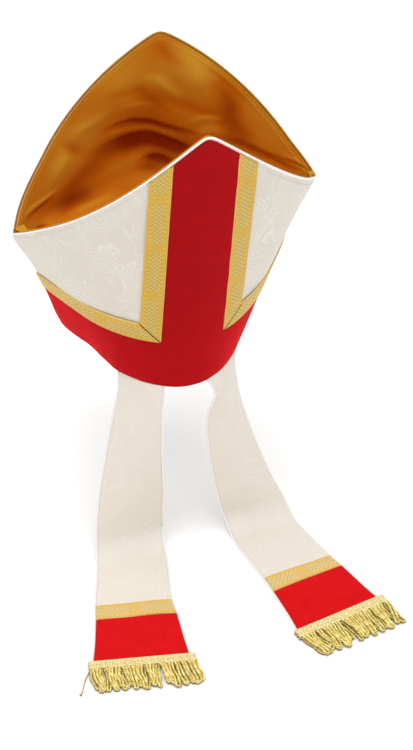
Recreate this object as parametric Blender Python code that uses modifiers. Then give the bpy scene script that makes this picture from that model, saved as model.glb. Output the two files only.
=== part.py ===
"""Bishop's mitre with two fringed lappets, built as the sewn pieces that it is made of.

Metres, +Z up. The origin is the middle of the mitre's rim. The mitre leans back by WORN_LEAN about X,
its back is at -Y, and the lappets hang from the back rim and lie on a surface FLOOR_DROP below the origin.
"""

import math

import bmesh
import bpy
import numpy as np
from mathutils import Matrix, Vector

# Mitre, in its own upright frame
RIM_HALF_WIDTH = 0.0916
RIM_HALF_DEPTH = 0.1083
RIM_ARC = math.radians(67.0)
SIDE_POINT_HEIGHT = 0.1393
PEAK_HEIGHT = 0.2994
SIDE_POINT_HALF_WIDTH = 0.1478
HORN_HALF_DEPTH = 0.0908
HORN_ARC = math.radians(32.7)
FLARE_LAG = 0.32
EDGE_BULGE = 0.04
PEAK_ROUNDING = 0.025
PANEL_WALL = 0.0025
WORN_LEAN = math.radians(12.0)

# Orphreys and braid
RED_BAND_HEIGHT = 0.0586
STEM_HALF_WIDTH = 0.0316
BRAID_WIDTH = 0.0214
ORPHREY_WALL = 0.0010
BRAID_WALL = 0.0013

# Edges and lining
EDGE_ROLL_RADIUS = 0.0018
LINING_WALL = 0.0012
LINING_FLOOR = 0.1240
TACK_RADIUS = 0.0016

# Lappets
FLOOR_DROP = 0.2120
LAPPET_SPACING = 0.0445
LAPPET_TOP_WIDTH = 0.0490
LAPPET_LENGTH = 0.3410
LAPPET_WALL = 0.0020
LAPPET_TUCK = 0.0120
LAPPET_LEAN = 0.0220
BEND_RADIUS = 0.0200
LAPPET_BRAID_WIDTH = 0.0195
RED_END_LENGTH = 0.0585
EDGING_RADIUS = 0.0008

# Fringe
FRINGE_HEADER_DEPTH = 0.0090
FRINGE_HEADER_WALL = 0.0042
FRINGE_OVERHANG = 0.0045
FRINGE_LENGTH = 0.0310
FRINGE_WALL = 0.0034
FRINGE_LOCKS = 14
FRINGE_SPREAD = math.radians(16.0)

# Gaps between pieces that touch, and between soft layers that follow a curved wall
GAP = 0.0003
TUCK_CLEARANCE = 0.0007

BACK = -1
FRONT = 1
LEFT = -1
RIGHT = 1
SIDE_NAMES = {LEFT: "left", RIGHT: "right"}
HORN_NAMES = {BACK: "back", FRONT: "front"}

# Share of the lappet's length from the rim, middle's distance from the centre plane as a share
# of LAPPET_SPACING, turn of the cloth in degrees, and hollow as a share of the half width
LAPPET_SECTIONS = {
    LEFT: (
        (0.00, 0.910, 46.0, 0.13),
        (0.07, 0.948, 50.0, 0.11),
        (0.14, 1.011, 46.0, 0.09),
        (0.22, 1.088, 40.0, 0.08),
        (0.33, 1.175, 28.0, 0.06),
        (0.44, 1.254, 14.0, 0.04),
        (0.54, 1.308, 5.0, 0.02),
        (0.62, 1.449, 8.0, 0.00),
        (0.77, 1.825, 10.8, 0.00),
        (0.83, 1.924, 11.0, 0.00),
        (1.00, 2.263, 11.5, 0.00),
    ),
    RIGHT: (
        (0.00, 0.933, 40.0, 0.13),
        (0.07, 0.996, 45.0, 0.16),
        (0.14, 0.944, 34.0, 0.14),
        (0.22, 1.004, 27.0, 0.09),
        (0.33, 1.175, 21.0, 0.06),
        (0.44, 1.398, 14.0, 0.04),
        (0.54, 1.652, 4.0, 0.02),
        (0.62, 1.742, 5.0, 0.00),
        (0.77, 1.946, 8.0, 0.00),
        (0.83, 2.031, 10.0, 0.00),
        (1.00, 2.234, 11.7, 0.00),
    ),
}

# Share of the lappet's length from the rim and width as a share of LAPPET_TOP_WIDTH
LAPPET_WIDTHS = (
    (0.00, 1.00),
    (0.10, 1.05),
    (0.25, 1.15),
    (0.40, 1.28),
    (0.55, 1.38),
    (0.77, 1.55),
    (0.83, 1.65),
    (0.93, 1.80),
    (1.00, 1.94),
)

# Panel grid lines: a column or row runs 0 to 1 over the red stem or band, 1 to 2 over the braid
# and 2 to 3 from the braid to the side seam or the top edge
STEM_COLUMNS = (0.0, 0.3, 0.65, 1.0)
BRAID_COLUMNS = (1.5,)
SIDE_COLUMNS = (2.0, 2.14, 2.29, 2.45, 2.61, 2.76, 2.89, 3.0)
BAND_ROWS = (0.0, 0.33, 0.67, 1.0)
UPPER_ROWS = (2.0, 2.11, 2.22, 2.33, 2.44, 2.55, 2.67, 2.78, 2.89, 3.0)
LINING_ROWS = (0.0, 0.25, 0.45, 0.62, 0.76, 0.88, 1.0)
LINING_WALL_POWER = 4.0
LINING_SPREAD_POWER = 0.6
STRIP_COLUMNS = (-1.0, -0.5, 0.0, 0.5, 1.0)

# Lappet grid rows, as shares of the hanging part, of the bend and of the lying part above the braid
HANG_ROWS = (0.05, 0.13, 0.22, 0.31, 0.4, 0.52, 0.64, 0.76, 0.88, 1.0)
BEND_ROWS = (0.2, 0.4, 0.6, 0.8, 1.0)
LYING_ROWS = (0.35, 0.7, 1.0)

# Share of a lock's length, width as a share of the spacing, and thickness as a share of FRINGE_WALL
LOCK_SECTIONS = (
    (0.0, 0.86, 0.8),
    (0.3, 0.86, 1.0),
    (0.7, 0.80, 1.0),
    (1.0, 0.60, 0.7),
)

# Unevenness of the locks, as a wave over their numbers
LOCK_LENGTH_WAVE = 0.08
LOCK_LENGTH_STEP = 1.9
LOCK_TURN_WAVE = math.radians(1.5)
LOCK_TURN_STEP = 2.4

WHITE_DAMASK = ("ivory_damask", (0.80, 0.75, 0.66), 0.62)
RED_CLOTH = ("red_crepe", (0.55, 0.01, 0.015), 0.75)
GOLD_BRAID = ("gold_braid", (0.68, 0.47, 0.12), 0.45)
GOLD_SATIN = ("gold_satin", (0.48, 0.22, 0.03), 0.35)
WHITE_PIPING = ("white_piping", (0.88, 0.88, 0.88), 0.55)
GOLD_FRINGE = ("gold_fringe", (0.70, 0.52, 0.16), 0.40)

ARC_STEPS = 96
EDGE_HALVINGS = 40
ROLL_TURNS = (-90, -45, 0, 45, 90)
TACK_SEGMENTS = 10
TACK_RINGS = 6
SHARP_ANGLE = math.radians(40)


def clear_scene():
    """Remove every object, so that the model starts from nothing."""
    for item in list(bpy.data.objects):
        bpy.data.objects.remove(item, do_unlink=True)


def make_collection(name):
    """Add a collection to the scene."""
    group = bpy.data.collections.new(name)
    bpy.context.scene.collection.children.link(group)
    return group


def material(finish):
    """Return the Principled material of one finish, made once."""
    name, colour, roughness = finish
    found = bpy.data.materials.get(name)
    if found:
        return found
    made = bpy.data.materials.new(name)
    made.use_nodes = True
    shader = made.node_tree.nodes["Principled BSDF"]
    shader.inputs["Base Color"].default_value = (*colour, 1.0)
    shader.inputs["Roughness"].default_value = roughness
    return made


def add_object(name, mesh, finish, group, parent=None):
    """Add an object for a mesh, with its finish and its place in the tree."""
    item = bpy.data.objects.new(name, mesh)
    group.objects.link(item)
    if finish:
        mesh.materials.append(material(finish))
    if parent:
        item.parent = parent
    return item


def blend(table, share):
    """Read a table of rows at a share, on a smooth curve through its rows."""
    rows = np.array(table, dtype=float)
    share = min(max(share, rows[0, 0]), rows[-1, 0])
    right = int(np.searchsorted(rows[1:-1, 0], share, side="right")) + 1
    left = right - 1
    span = rows[right, 0] - rows[left, 0]
    before = rows[max(left - 1, 0)]
    after = rows[min(right + 1, len(rows) - 1)]
    slope_left = (rows[right] - before) / max(rows[right, 0] - before[0], span) * span
    slope_right = (after - rows[left]) / max(after[0] - rows[left, 0], span) * span
    t = (share - rows[left, 0]) / span
    value = (
        rows[left] * (2 * t**3 - 3 * t**2 + 1)
        + slope_left * (t**3 - 2 * t**2 + t)
        + rows[right] * (3 * t**2 - 2 * t**3)
        + slope_right * (t**3 - t**2)
    )
    return value[1:]


def bow(around, half_width, half_depth, arc):
    """Bowed line in plan between two side seams, as wide and as deep as stated."""
    across = half_width * np.sin(around * arc) / math.sin(arc)
    depth = half_depth * (np.cos(around * arc) - math.cos(arc)) / (1 - math.cos(arc))
    return across, depth


def shell_xy(around, height):
    """Half shell in plan: around runs from -1 to 1 between the side seams, and y is towards the horn."""
    rise = height / SIDE_POINT_HEIGHT
    flare = rise - FLARE_LAG * rise * (rise - 1) if rise < 1 else 1 + (1 - FLARE_LAG) * (rise - 1)
    rim_x, rim_y = bow(around, RIM_HALF_WIDTH, RIM_HALF_DEPTH, RIM_ARC)
    top_x, top_y = bow(around, SIDE_POINT_HALF_WIDTH, HORN_HALF_DEPTH, HORN_ARC)
    return rim_x + (top_x - rim_x) * flare, rim_y + (top_y - rim_y) * rise


def shell_point(horn, around, height, offset=0.0):
    """Point of a horn's outer face, moved out along its normal by offset."""
    step = 0.001
    x, y = shell_xy(around, height)
    ahead = shell_xy(around + step, height)
    above = shell_xy(around, height + step)
    run = Vector((float(ahead[0] - x), float(ahead[1] - y), 0.0))
    rise = Vector((float(above[0] - x), float(above[1] - y), step))
    normal = rise.cross(run).normalized()
    point = Vector((float(x), float(y), height)) + normal * offset
    return Vector((point.x, point.y * horn, point.z))


def around_at_arc(height, arc):
    """Around value at a distance along the shell from the centre line, at one height."""
    shares = np.linspace(0.0, 1.0, ARC_STEPS)
    x, y = shell_xy(shares, height)
    lengths = np.concatenate(([0.0], np.cumsum(np.hypot(np.diff(x), np.diff(y)))))
    return math.copysign(float(np.interp(abs(arc), lengths, shares)), arc)


def column_around(column, height):
    """Around value of a panel column at one height."""
    reach = abs(column)
    stem = min(reach, 1.0) * STEM_HALF_WIDTH
    braid = min(max(reach - 1.0, 0.0), 1.0) * BRAID_WIDTH
    around = around_at_arc(height, stem + braid)
    side = max(reach - 2.0, 0.0)
    return math.copysign(around + side * (1.0 - around), column)


def edge_height(around):
    """Height of the horns' top edge: a point softened at the peak, low at the side seams."""
    soft = PEAK_ROUNDING
    reach = (math.hypot(around, soft) - soft) / (math.hypot(1.0, soft) - soft)
    rise = 1.0 - reach
    return SIDE_POINT_HEIGHT + (PEAK_HEIGHT - SIDE_POINT_HEIGHT) * rise * (1 + EDGE_BULGE * (1 - rise))


def column_top(column):
    """Height at which a column meets the top edge."""
    low = RED_BAND_HEIGHT
    high = PEAK_HEIGHT
    for _ in range(EDGE_HALVINGS):
        middle = (low + high) / 2
        if middle < edge_height(column_around(column, middle)):
            low = middle
        else:
            high = middle
    return low


def row_height(row, column):
    """Height of a panel row on one column."""
    if row <= 1.0:
        return row * RED_BAND_HEIGHT
    braid_top = RED_BAND_HEIGHT + BRAID_WIDTH
    if row <= 2.0:
        return RED_BAND_HEIGHT + (row - 1.0) * BRAID_WIDTH
    return braid_top + (row - 2.0) * (column_top(column) - braid_top)


def panel_point(horn, column, row, offset=0.0):
    """Point of a horn's outer face on its grid."""
    height = row_height(row, column)
    return shell_point(horn, column_around(column, height), height, offset)


def seam_column(clearance):
    """Outermost column whose face stays a clearance off the plane of the side seams."""
    near = 0.01
    _, depth = shell_xy(1.0 - near, SIDE_POINT_HEIGHT)
    share = clearance * near / float(depth)
    return 3.0 - share / (1.0 - column_around(2.0, SIDE_POINT_HEIGHT))


def both_sides(columns):
    """Columns of one half, repeated for the other half."""
    return sorted({-value for value in columns} | set(columns))


def grid_mesh(name, columns, rows, place, keep=None):
    """Open sheet over columns and rows; every sheet splits its squares alike, so layers stay parallel."""
    work = bmesh.new()
    points = {}

    def vertex(column, row):
        key = (column, row)
        if key not in points:
            points[key] = work.verts.new(place(column, row))
        return points[key]

    for left, right in zip(columns, columns[1:]):
        for low, high in zip(rows, rows[1:]):
            if keep and not keep((left + right) / 2, (low + high) / 2):
                continue
            corner = vertex(left, low)
            opposite = vertex(right, high)
            work.faces.new((corner, vertex(right, low), opposite))
            work.faces.new((corner, opposite, vertex(left, high)))
    mesh = bpy.data.meshes.new(name)
    work.to_mesh(mesh)
    work.free()
    return mesh


def flip_faces(mesh):
    """Turn every face of a mesh over."""
    mesh.flip_normals()


def thicken(item, wall, outwards):
    """Give a sheet its wall, inwards from its face or outwards."""
    shell = item.modifiers.new("wall", "SOLIDIFY")
    shell.thickness = wall
    shell.offset = 1.0 if outwards else -1.0
    shell.use_even_offset = True
    return shell


def loft(name, rings):
    """Closed body through rings of points, with its two ends capped."""
    work = bmesh.new()
    lines = [[work.verts.new(point) for point in ring] for ring in rings]
    for before, after in zip(lines, lines[1:]):
        for index, start in enumerate(before):
            following = (index + 1) % len(before)
            work.faces.new((start, before[following], after[following], after[index]))
    work.faces.new(lines[0])
    work.faces.new(lines[-1])
    bmesh.ops.recalc_face_normals(work, faces=work.faces)
    mesh = bpy.data.meshes.new(name)
    work.to_mesh(mesh)
    work.free()
    return mesh


def boolean(item, cutter, operation):
    """Cut or join an item with a guide object."""
    step = item.modifiers.new("boolean", "BOOLEAN")
    step.operation = operation
    step.object = cutter
    step.solver = "EXACT"


def hide_guide(item):
    """Mark an object as a guide that isn't part of the model."""
    item.hide_render = True
    item.display_type = "WIRE"


def seam_cutter(horn, group, parent):
    """Block beyond the plane of the side seams, which trims a horn's wall where the two horns meet."""
    work = bmesh.new()
    bmesh.ops.create_cube(work, size=1.0)
    depth = HORN_HALF_DEPTH + RIM_HALF_DEPTH
    size = Vector((4 * SIDE_POINT_HALF_WIDTH, depth, 3 * PEAK_HEIGHT))
    bmesh.ops.scale(work, vec=size, verts=work.verts)
    bmesh.ops.translate(work, vec=(0.0, -horn * (depth / 2 - GAP / 2), 0.0), verts=work.verts)
    name = f"{HORN_NAMES[horn]}_seam_cutter"
    mesh = bpy.data.meshes.new(name)
    work.to_mesh(mesh)
    work.free()
    cutter = add_object(name, mesh, None, group, parent)
    hide_guide(cutter)
    return cutter


def panel_columns():
    """Every column of a panel's grid."""
    return both_sides(STEM_COLUMNS + BRAID_COLUMNS + SIDE_COLUMNS)


def panel_rows():
    """Every row of a panel's grid."""
    return list(BAND_ROWS + UPPER_ROWS)


def horn_sheet(name, horn, columns, rows, offset, keep=None):
    """Sheet over a horn's outer face, at an offset from it, facing out."""
    mesh = grid_mesh(name, columns, rows, lambda c, r: panel_point(horn, c, r, offset), keep)
    if horn == FRONT:
        flip_faces(mesh)
    return mesh


def build_panel(horn, parts, guides, parent):
    """Stiffened damask panel of one horn, open below and cut off at the side seams."""
    name = f"{HORN_NAMES[horn]}_panel"
    mesh = horn_sheet(name, horn, panel_columns(), panel_rows(), 0.0)
    panel = add_object(name, mesh, WHITE_DAMASK, parts, parent)
    thicken(panel, PANEL_WALL, outwards=False)
    boolean(panel, seam_cutter(horn, guides, parent), "DIFFERENCE")


def build_orphrey(horn, parts, parent):
    """Red cloth in the shape of an inverted T: the band round the rim and the stem up the middle."""
    name = f"{HORN_NAMES[horn]}_orphrey"
    end = seam_column(GAP)
    columns = [max(-end, min(end, column)) for column in panel_columns()]
    mesh = horn_sheet(name, horn, columns, panel_rows(), GAP, lambda c, r: abs(c) < 1.0 or r < 1.0)
    orphrey = add_object(name, mesh, RED_CLOTH, parts, parent)
    thicken(orphrey, ORPHREY_WALL, outwards=True)


def build_braid(horn, side, parts, parent):
    """L of gold braid: down beside the stem, then along the top of the red band to the side seam."""
    name = f"{HORN_NAMES[horn]}_braid_{SIDE_NAMES[side]}"
    inset = GAP / BRAID_WIDTH
    end = seam_column(GAP)
    lines = (1.0,) + BRAID_COLUMNS + SIDE_COLUMNS
    columns = sorted(side * min(max(column, 1.0 + inset), end) for column in lines)
    rows = [1.0 + inset] + list(UPPER_ROWS)
    mesh = horn_sheet(name, horn, columns, rows, GAP, lambda c, r: abs(c) < 2.0 or r < 2.0)
    braid = add_object(name, mesh, GOLD_BRAID, parts, parent)
    thicken(braid, BRAID_WALL, outwards=True)


def edge_frame(horn, column):
    """Point of the top edge with its outward and upward directions."""
    step = 0.02
    ahead = panel_point(horn, min(column + step, 3.0), 3.0)
    behind = panel_point(horn, max(column - step, -3.0), 3.0)
    point = panel_point(horn, column, 3.0)
    along = (ahead - behind).normalized()
    outward = (panel_point(horn, column, 3.0, 1.0) - point).normalized()
    upward = outward.cross(along).normalized()
    if upward.z < 0:
        upward.negate()
    return point, outward, upward


def edge_roll_rings(horn, towards, end):
    """Half-round sections that stand on the top edge, on its outer or its inner half."""
    rings = []
    for column in panel_columns():
        point, outward, upward = edge_frame(horn, max(-end, min(end, column)))
        middle = point - outward * (PANEL_WALL / 2 - towards * GAP / 2)
        middle = middle + upward * (GAP + EDGE_ROLL_RADIUS)
        ring = []
        for turn in ROLL_TURNS:
            across = towards * math.cos(math.radians(turn)) * EDGE_ROLL_RADIUS
            rise = math.sin(math.radians(turn)) * EDGE_ROLL_RADIUS
            ring.append(middle + outward * across + upward * rise)
        rings.append(ring)
    return rings


def build_edges(horn, parts, parent):
    """White piping on the outer half of the top edge and the lining's gold roll on its inner half."""
    horn_name = HORN_NAMES[horn]
    piping_end = seam_column(PANEL_WALL / 2 + 2 * EDGE_ROLL_RADIUS)
    piping = loft(f"{horn_name}_piping", edge_roll_rings(horn, 1, piping_end))
    add_object(f"{horn_name}_piping", piping, WHITE_PIPING, parts, parent)
    roll_end = seam_column(PANEL_WALL + 3 * EDGE_ROLL_RADIUS + TACK_RADIUS)
    roll = loft(f"{horn_name}_lining_edge", edge_roll_rings(horn, -1, roll_end))
    add_object(f"{horn_name}_lining_edge", roll, GOLD_SATIN, parts, parent)


def lining_point(column, row):
    """Point of the lining: row runs from -1 at the back horn's edge to 1 at the front horn's."""
    reach = abs(row)
    height = LINING_FLOOR + (column_top(column) - LINING_FLOOR) * reach**LINING_WALL_POWER
    inside = shell_point(FRONT, column_around(column, height), height, -(PANEL_WALL + TUCK_CLEARANCE))
    depth = inside.y * math.copysign(reach**LINING_SPREAD_POWER, row)
    return Vector((inside.x, depth, inside.z))


def lining_end():
    """Last column of the lining, where its two walls still stand clear of each other."""
    return seam_column(2 * (PANEL_WALL + LINING_WALL))


def build_lining(parts, parent):
    """Satin gusset that closes the top: up both horns' inner faces, sagging between them."""
    end = lining_end()
    columns = [max(-end, min(end, column)) for column in both_sides(STEM_COLUMNS + SIDE_COLUMNS)]
    mesh = grid_mesh("gusset_lining", columns, both_sides(LINING_ROWS), lining_point)
    lining = add_object("gusset_lining", mesh, GOLD_SATIN, parts, parent)
    thicken(lining, LINING_WALL, outwards=True)


def build_tack(side, parts, parent):
    """Small stitched bar between the lining's two walls at a side point."""
    name = f"side_tack_{SIDE_NAMES[side]}"
    seat = lining_point(side * lining_end(), 1.0)
    reach = seat.y - LINING_WALL - GAP
    work = bmesh.new()
    bmesh.ops.create_uvsphere(work, u_segments=TACK_SEGMENTS, v_segments=TACK_RINGS, radius=1.0)
    bmesh.ops.scale(work, vec=(TACK_RADIUS, reach, TACK_RADIUS), verts=work.verts)
    place = Vector((seat.x - side * TACK_RADIUS, 0.0, seat.z - TACK_RADIUS))
    bmesh.ops.translate(work, vec=place, verts=work.verts)
    mesh = bpy.data.meshes.new(name)
    work.to_mesh(mesh)
    work.free()
    add_object(name, mesh, GOLD_SATIN, parts, parent)


def lean(point):
    """Carry a point from the mitre's upright frame to the worn one."""
    return Matrix.Rotation(WORN_LEAN, 3, "X") @ point


def half_width(length):
    """Half the width of the lappet's cloth at a length from the rim, inside its edging."""
    whole = float(blend(LAPPET_WIDTHS, length / LAPPET_LENGTH)[0]) * LAPPET_TOP_WIDTH
    return whole / 2 - EDGING_RADIUS - GAP


def tucked_point(side, across, height):
    """Point of a lappet's outer face where it is sewn inside the back panel's rim."""
    arc = side * (LAPPET_SPACING + across * half_width(0.0))
    around = around_at_arc(height, arc)
    return lean(shell_point(BACK, around, height, -(PANEL_WALL + TUCK_CLEARANCE)))


def lappet_profile(side, length):
    """Side view of a lappet: distance back, height and slope, at a length from the rim."""
    start = tucked_point(side, 0.0, 0.0)
    rest = LAPPET_WALL - FLOOR_DROP
    drop = start.z - (rest + BEND_RADIUS)
    slant = math.atan2(LAPPET_LEAN, drop)
    hang = math.hypot(LAPPET_LEAN, drop)
    turn = math.pi / 2 - slant
    if length <= hang:
        share = length / hang
        return start.y - LAPPET_LEAN * share, start.z - drop * share, slant
    foot_y = start.y - LAPPET_LEAN
    radius = BEND_RADIUS / (1.0 - math.sin(slant))
    bend = min((length - hang) / radius, turn)
    angle = slant + bend
    back = foot_y - radius * (math.cos(slant) - math.cos(angle))
    height = rest + radius * (1.0 - math.sin(angle))
    return back - max(length - hang - turn * radius, 0.0), height, angle


def lappet_frame(side, length):
    """Middle of a lappet's outer face, with its across, along and outward directions."""
    place, turn, _ = blend(LAPPET_SECTIONS[side], length / LAPPET_LENGTH)
    back, height, angle = lappet_profile(side, length)
    turn = math.radians(turn)
    across = Vector((side * math.cos(turn), math.sin(turn), 0.0))
    ahead = Vector((side * math.sin(turn), -math.cos(turn), 0.0))
    along = ahead * math.sin(angle) - Vector((0, 0, 1)) * math.cos(angle)
    outward = ahead * math.cos(angle) + Vector((0, 0, 1)) * math.sin(angle)
    return Vector((side * place * LAPPET_SPACING, back, height)), across, along, outward


def lappet_point(side, across, length, lift=0.0):
    """Point of a lappet's outer face: across runs from -1 at the inner edge to 1 at the outer one."""
    if length <= 0.0:
        return tucked_point(side, across, -length)
    middle, sideways, _, outward = lappet_frame(side, length)
    hollow = float(blend(LAPPET_SECTIONS[side], length / LAPPET_LENGTH)[2]) * half_width(length)
    mean_hollow = hollow * 2.0 / 3.0
    out = lift + hollow * (1.0 - across**2) - mean_hollow
    return middle + sideways * (across * half_width(length)) + outward * out


def hang_length(side):
    """Length of a lappet from the rim to the start of its bend."""
    start = tucked_point(side, 0.0, 0.0)
    drop = start.z - (LAPPET_WALL - FLOOR_DROP + BEND_RADIUS)
    return math.hypot(LAPPET_LEAN, drop)


def band_lengths():
    """Lengths from the rim at which the lappet's braid starts, the red end starts and the cloth ends."""
    red = LAPPET_LENGTH - RED_END_LENGTH
    return red - LAPPET_BRAID_WIDTH, red, LAPPET_LENGTH


def lappet_lengths(side):
    """Rows of a lappet's grid, as lengths from the rim; negative ones are tucked inside it."""
    hang = hang_length(side)
    bend_end = hang + BEND_RADIUS * math.pi / 2
    braid, red, end = band_lengths()
    rows = [-LAPPET_TUCK, 0.0]
    rows += [hang * share for share in HANG_ROWS]
    rows += [hang + (bend_end - hang) * share for share in BEND_ROWS]
    lying = [bend_end + (braid - bend_end) * share for share in LYING_ROWS]
    rest = [red, (red + end) / 2, end]
    return rows + [length for length in lying + rest if length > bend_end]


def strip_mesh(name, side, lengths, lift):
    """Sheet along a lappet, facing out."""
    mesh = grid_mesh(name, STRIP_COLUMNS, lengths, lambda c, r: lappet_point(side, c, r, lift))
    if side == RIGHT:
        flip_faces(mesh)
    return mesh


def build_strip(name, side, lengths, lift, wall, finish, parts):
    """One layer of a lappet; a layer with a lift lies on the cloth below it."""
    item = add_object(name, strip_mesh(name, side, lengths, lift), finish, parts)
    thicken(item, wall, outwards=lift > 0.0)


def build_edging(side, across, parts):
    """White piping along one long edge of a lappet."""
    edge = "outer" if across > 0 else "inner"
    lengths = [length for length in lappet_lengths(side) if length > 0.0]
    lengths[0] = max(lengths[0], 2 * EDGING_RADIUS + GAP)
    points = []
    for length in lengths:
        _, sideways, _, outward = lappet_frame(side, length)
        point = lappet_point(side, across, length)
        away = sideways * across * (EDGING_RADIUS + GAP)
        points.append(point + away - outward * (LAPPET_WALL - EDGING_RADIUS))
    curve = bpy.data.curves.new(f"lappet_{SIDE_NAMES[side]}_edging_{edge}", "CURVE")
    curve.dimensions = "3D"
    curve.bevel_depth = EDGING_RADIUS
    curve.bevel_resolution = 1
    curve.use_fill_caps = True
    line = curve.splines.new("POLY")
    line.points.add(len(points) - 1)
    for knot, point in zip(line.points, points):
        knot.co = (*point, 1.0)
    add_object(curve.name, curve, WHITE_PIPING, parts)


def box_ring(middle, sideways, low, high, half):
    """Upright rectangle across a lock or a header."""
    up = Vector((0, 0, 1))
    return [
        middle - sideways * half + up * low,
        middle + sideways * half + up * low,
        middle + sideways * half + up * high,
        middle - sideways * half + up * high,
    ]


def fringe_locks(name, side):
    """Mesh of the fringe's locks, each a tapered strip that starts inside the header."""
    middle, sideways, ahead, _ = lappet_frame(side, LAPPET_LENGTH)
    middle.z = -FLOOR_DROP
    half = half_width(LAPPET_LENGTH) + FRINGE_OVERHANG
    pitch = 2 * half / FRINGE_LOCKS
    start = GAP + FRINGE_HEADER_DEPTH / 2
    work = bmesh.new()
    for lock in range(FRINGE_LOCKS):
        place = -half + pitch * (lock + 0.5)
        fan = FRINGE_SPREAD * place / half + LOCK_TURN_WAVE * math.sin(LOCK_TURN_STEP * lock)
        uneven = 1 + LOCK_LENGTH_WAVE * math.sin(LOCK_LENGTH_STEP * lock)
        drop = FRINGE_HEADER_DEPTH / 2 + FRINGE_LENGTH * uneven
        heading = ahead * math.cos(fan) + sideways * math.sin(fan)
        across = sideways * math.cos(fan) - ahead * math.sin(fan)
        rings = []
        for share, width, wall in LOCK_SECTIONS:
            centre = middle + sideways * place + ahead * start + heading * (drop * share)
            rings.append(box_ring(centre, across, 0.0, FRINGE_WALL * wall, pitch / 2 * width))
        piece = loft(name, rings)
        work.from_mesh(piece)
        bpy.data.meshes.remove(piece)
    mesh = bpy.data.meshes.new(name)
    work.to_mesh(mesh)
    work.free()
    return mesh


def build_fringe(side, parts, guides):
    """Gold fringe: a braided header across the lappet's end with its locks fused to it."""
    name = f"lappet_{SIDE_NAMES[side]}_fringe"
    middle, sideways, ahead, _ = lappet_frame(side, LAPPET_LENGTH)
    middle.z = -FLOOR_DROP
    half = half_width(LAPPET_LENGTH) + FRINGE_OVERHANG
    rings = []
    for depth in (GAP, GAP + FRINGE_HEADER_DEPTH):
        rings.append(box_ring(middle + ahead * depth, sideways, 0.0, FRINGE_HEADER_WALL, half))
    header = add_object(name, loft(name, rings), GOLD_FRINGE, parts)
    locks = add_object(f"{name}_locks", fringe_locks(f"{name}_locks", side), None, guides)
    hide_guide(locks)
    boolean(header, locks, "UNION")


def build_lappet(side, parts, guides):
    """One lappet: lined damask strip, braid, red end, edging and fringe."""
    name = f"lappet_{SIDE_NAMES[side]}"
    braid, red, end = band_lengths()
    build_strip(name, side, lappet_lengths(side), 0.0, LAPPET_WALL, WHITE_DAMASK, parts)
    layer = GAP
    build_strip(f"{name}_braid", side, [braid, red - GAP], layer, BRAID_WALL, GOLD_BRAID, parts)
    middle = (red + end) / 2
    build_strip(f"{name}_end", side, [red, middle, end], layer, ORPHREY_WALL, RED_CLOTH, parts)
    build_edging(side, -1.0, parts)
    build_edging(side, 1.0, parts)
    build_fringe(side, parts, guides)


def shade_round(parts):
    """Shade the sewn forms smooth, with their real corners kept sharp."""
    for item in parts.objects:
        if item.type == "MESH":
            item.data.shade_smooth()
            item.data.set_sharp_from_angle(angle=SHARP_ANGLE)


def main():
    """Build the mitre and its lappets."""
    clear_scene()
    parts = make_collection("bishop_mitre")
    guides = make_collection("guides")
    axis = bpy.data.objects.new("mitre_axis", None)
    parts.objects.link(axis)
    axis.rotation_euler = (WORN_LEAN, 0.0, 0.0)
    for horn in (BACK, FRONT):
        build_panel(horn, parts, guides, axis)
        build_orphrey(horn, parts, axis)
        for side in (LEFT, RIGHT):
            build_braid(horn, side, parts, axis)
        build_edges(horn, parts, axis)
    build_lining(parts, axis)
    for side in (LEFT, RIGHT):
        build_tack(side, parts, axis)
        build_lappet(side, parts, guides)
    shade_round(parts)


main()
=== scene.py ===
"""Looks of the bishop's mitre: cloth, braid, cording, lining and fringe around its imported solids."""

import logging
import math
import random
from dataclasses import dataclass, field
from enum import Enum
from typing import Callable

import bpy
import numpy as np
from mathutils import Matrix


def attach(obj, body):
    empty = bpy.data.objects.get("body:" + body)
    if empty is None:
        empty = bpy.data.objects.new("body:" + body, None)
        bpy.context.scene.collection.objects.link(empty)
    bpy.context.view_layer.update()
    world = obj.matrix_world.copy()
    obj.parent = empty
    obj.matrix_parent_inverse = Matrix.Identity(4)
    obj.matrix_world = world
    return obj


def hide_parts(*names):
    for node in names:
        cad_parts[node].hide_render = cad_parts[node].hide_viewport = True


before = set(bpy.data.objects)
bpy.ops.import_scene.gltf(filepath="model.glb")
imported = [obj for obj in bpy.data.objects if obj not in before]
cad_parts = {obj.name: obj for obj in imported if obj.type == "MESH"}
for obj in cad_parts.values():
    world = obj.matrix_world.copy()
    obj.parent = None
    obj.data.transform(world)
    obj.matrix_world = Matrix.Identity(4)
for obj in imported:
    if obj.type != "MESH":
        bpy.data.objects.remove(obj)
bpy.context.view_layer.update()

LOG = logging.getLogger("mitre")
ROOT = "root"
CLOTH_MAP = "cloth"
GAP = 0.0003
BURIED = 0.0002
THREAD_LIFT = 0.0001
TUCK_CLEARANCE = 0.0007
FLOOR_HEIGHT = -0.2120
SHARP_ANGLE = math.radians(50.0)
UP = np.array([0.0, 0.0, 1.0])
TINY = 1e-12


class Horn(Enum):
    """The two pointed halves of the mitre, with the sign of the side they stand on."""

    BACK = -1
    FRONT = 1


class Side(Enum):
    """The two sides, seen from the back, with the sign of X."""

    LEFT = -1
    RIGHT = 1


def label(choice: Enum) -> str:
    """Name of an option in lower case, as the pieces use it."""
    return choice.name.lower()


def linear(hex_colour: str) -> tuple[float, float, float, float]:
    """Turn an sRGB hex colour to linear.

    Args:
        hex_colour: Six hex digits after a hash.

    Returns:
        Red, green, blue and alpha.
    """
    digits = hex_colour.lstrip("#")
    values = [int(digits[index:index + 2], 16) / 255.0 for index in (0, 2, 4)]
    parts = [value / 12.92 if value <= 0.04045 else ((value + 0.055) / 1.055) ** 2.4 for value in values]
    return (*parts, 1.0)


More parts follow.
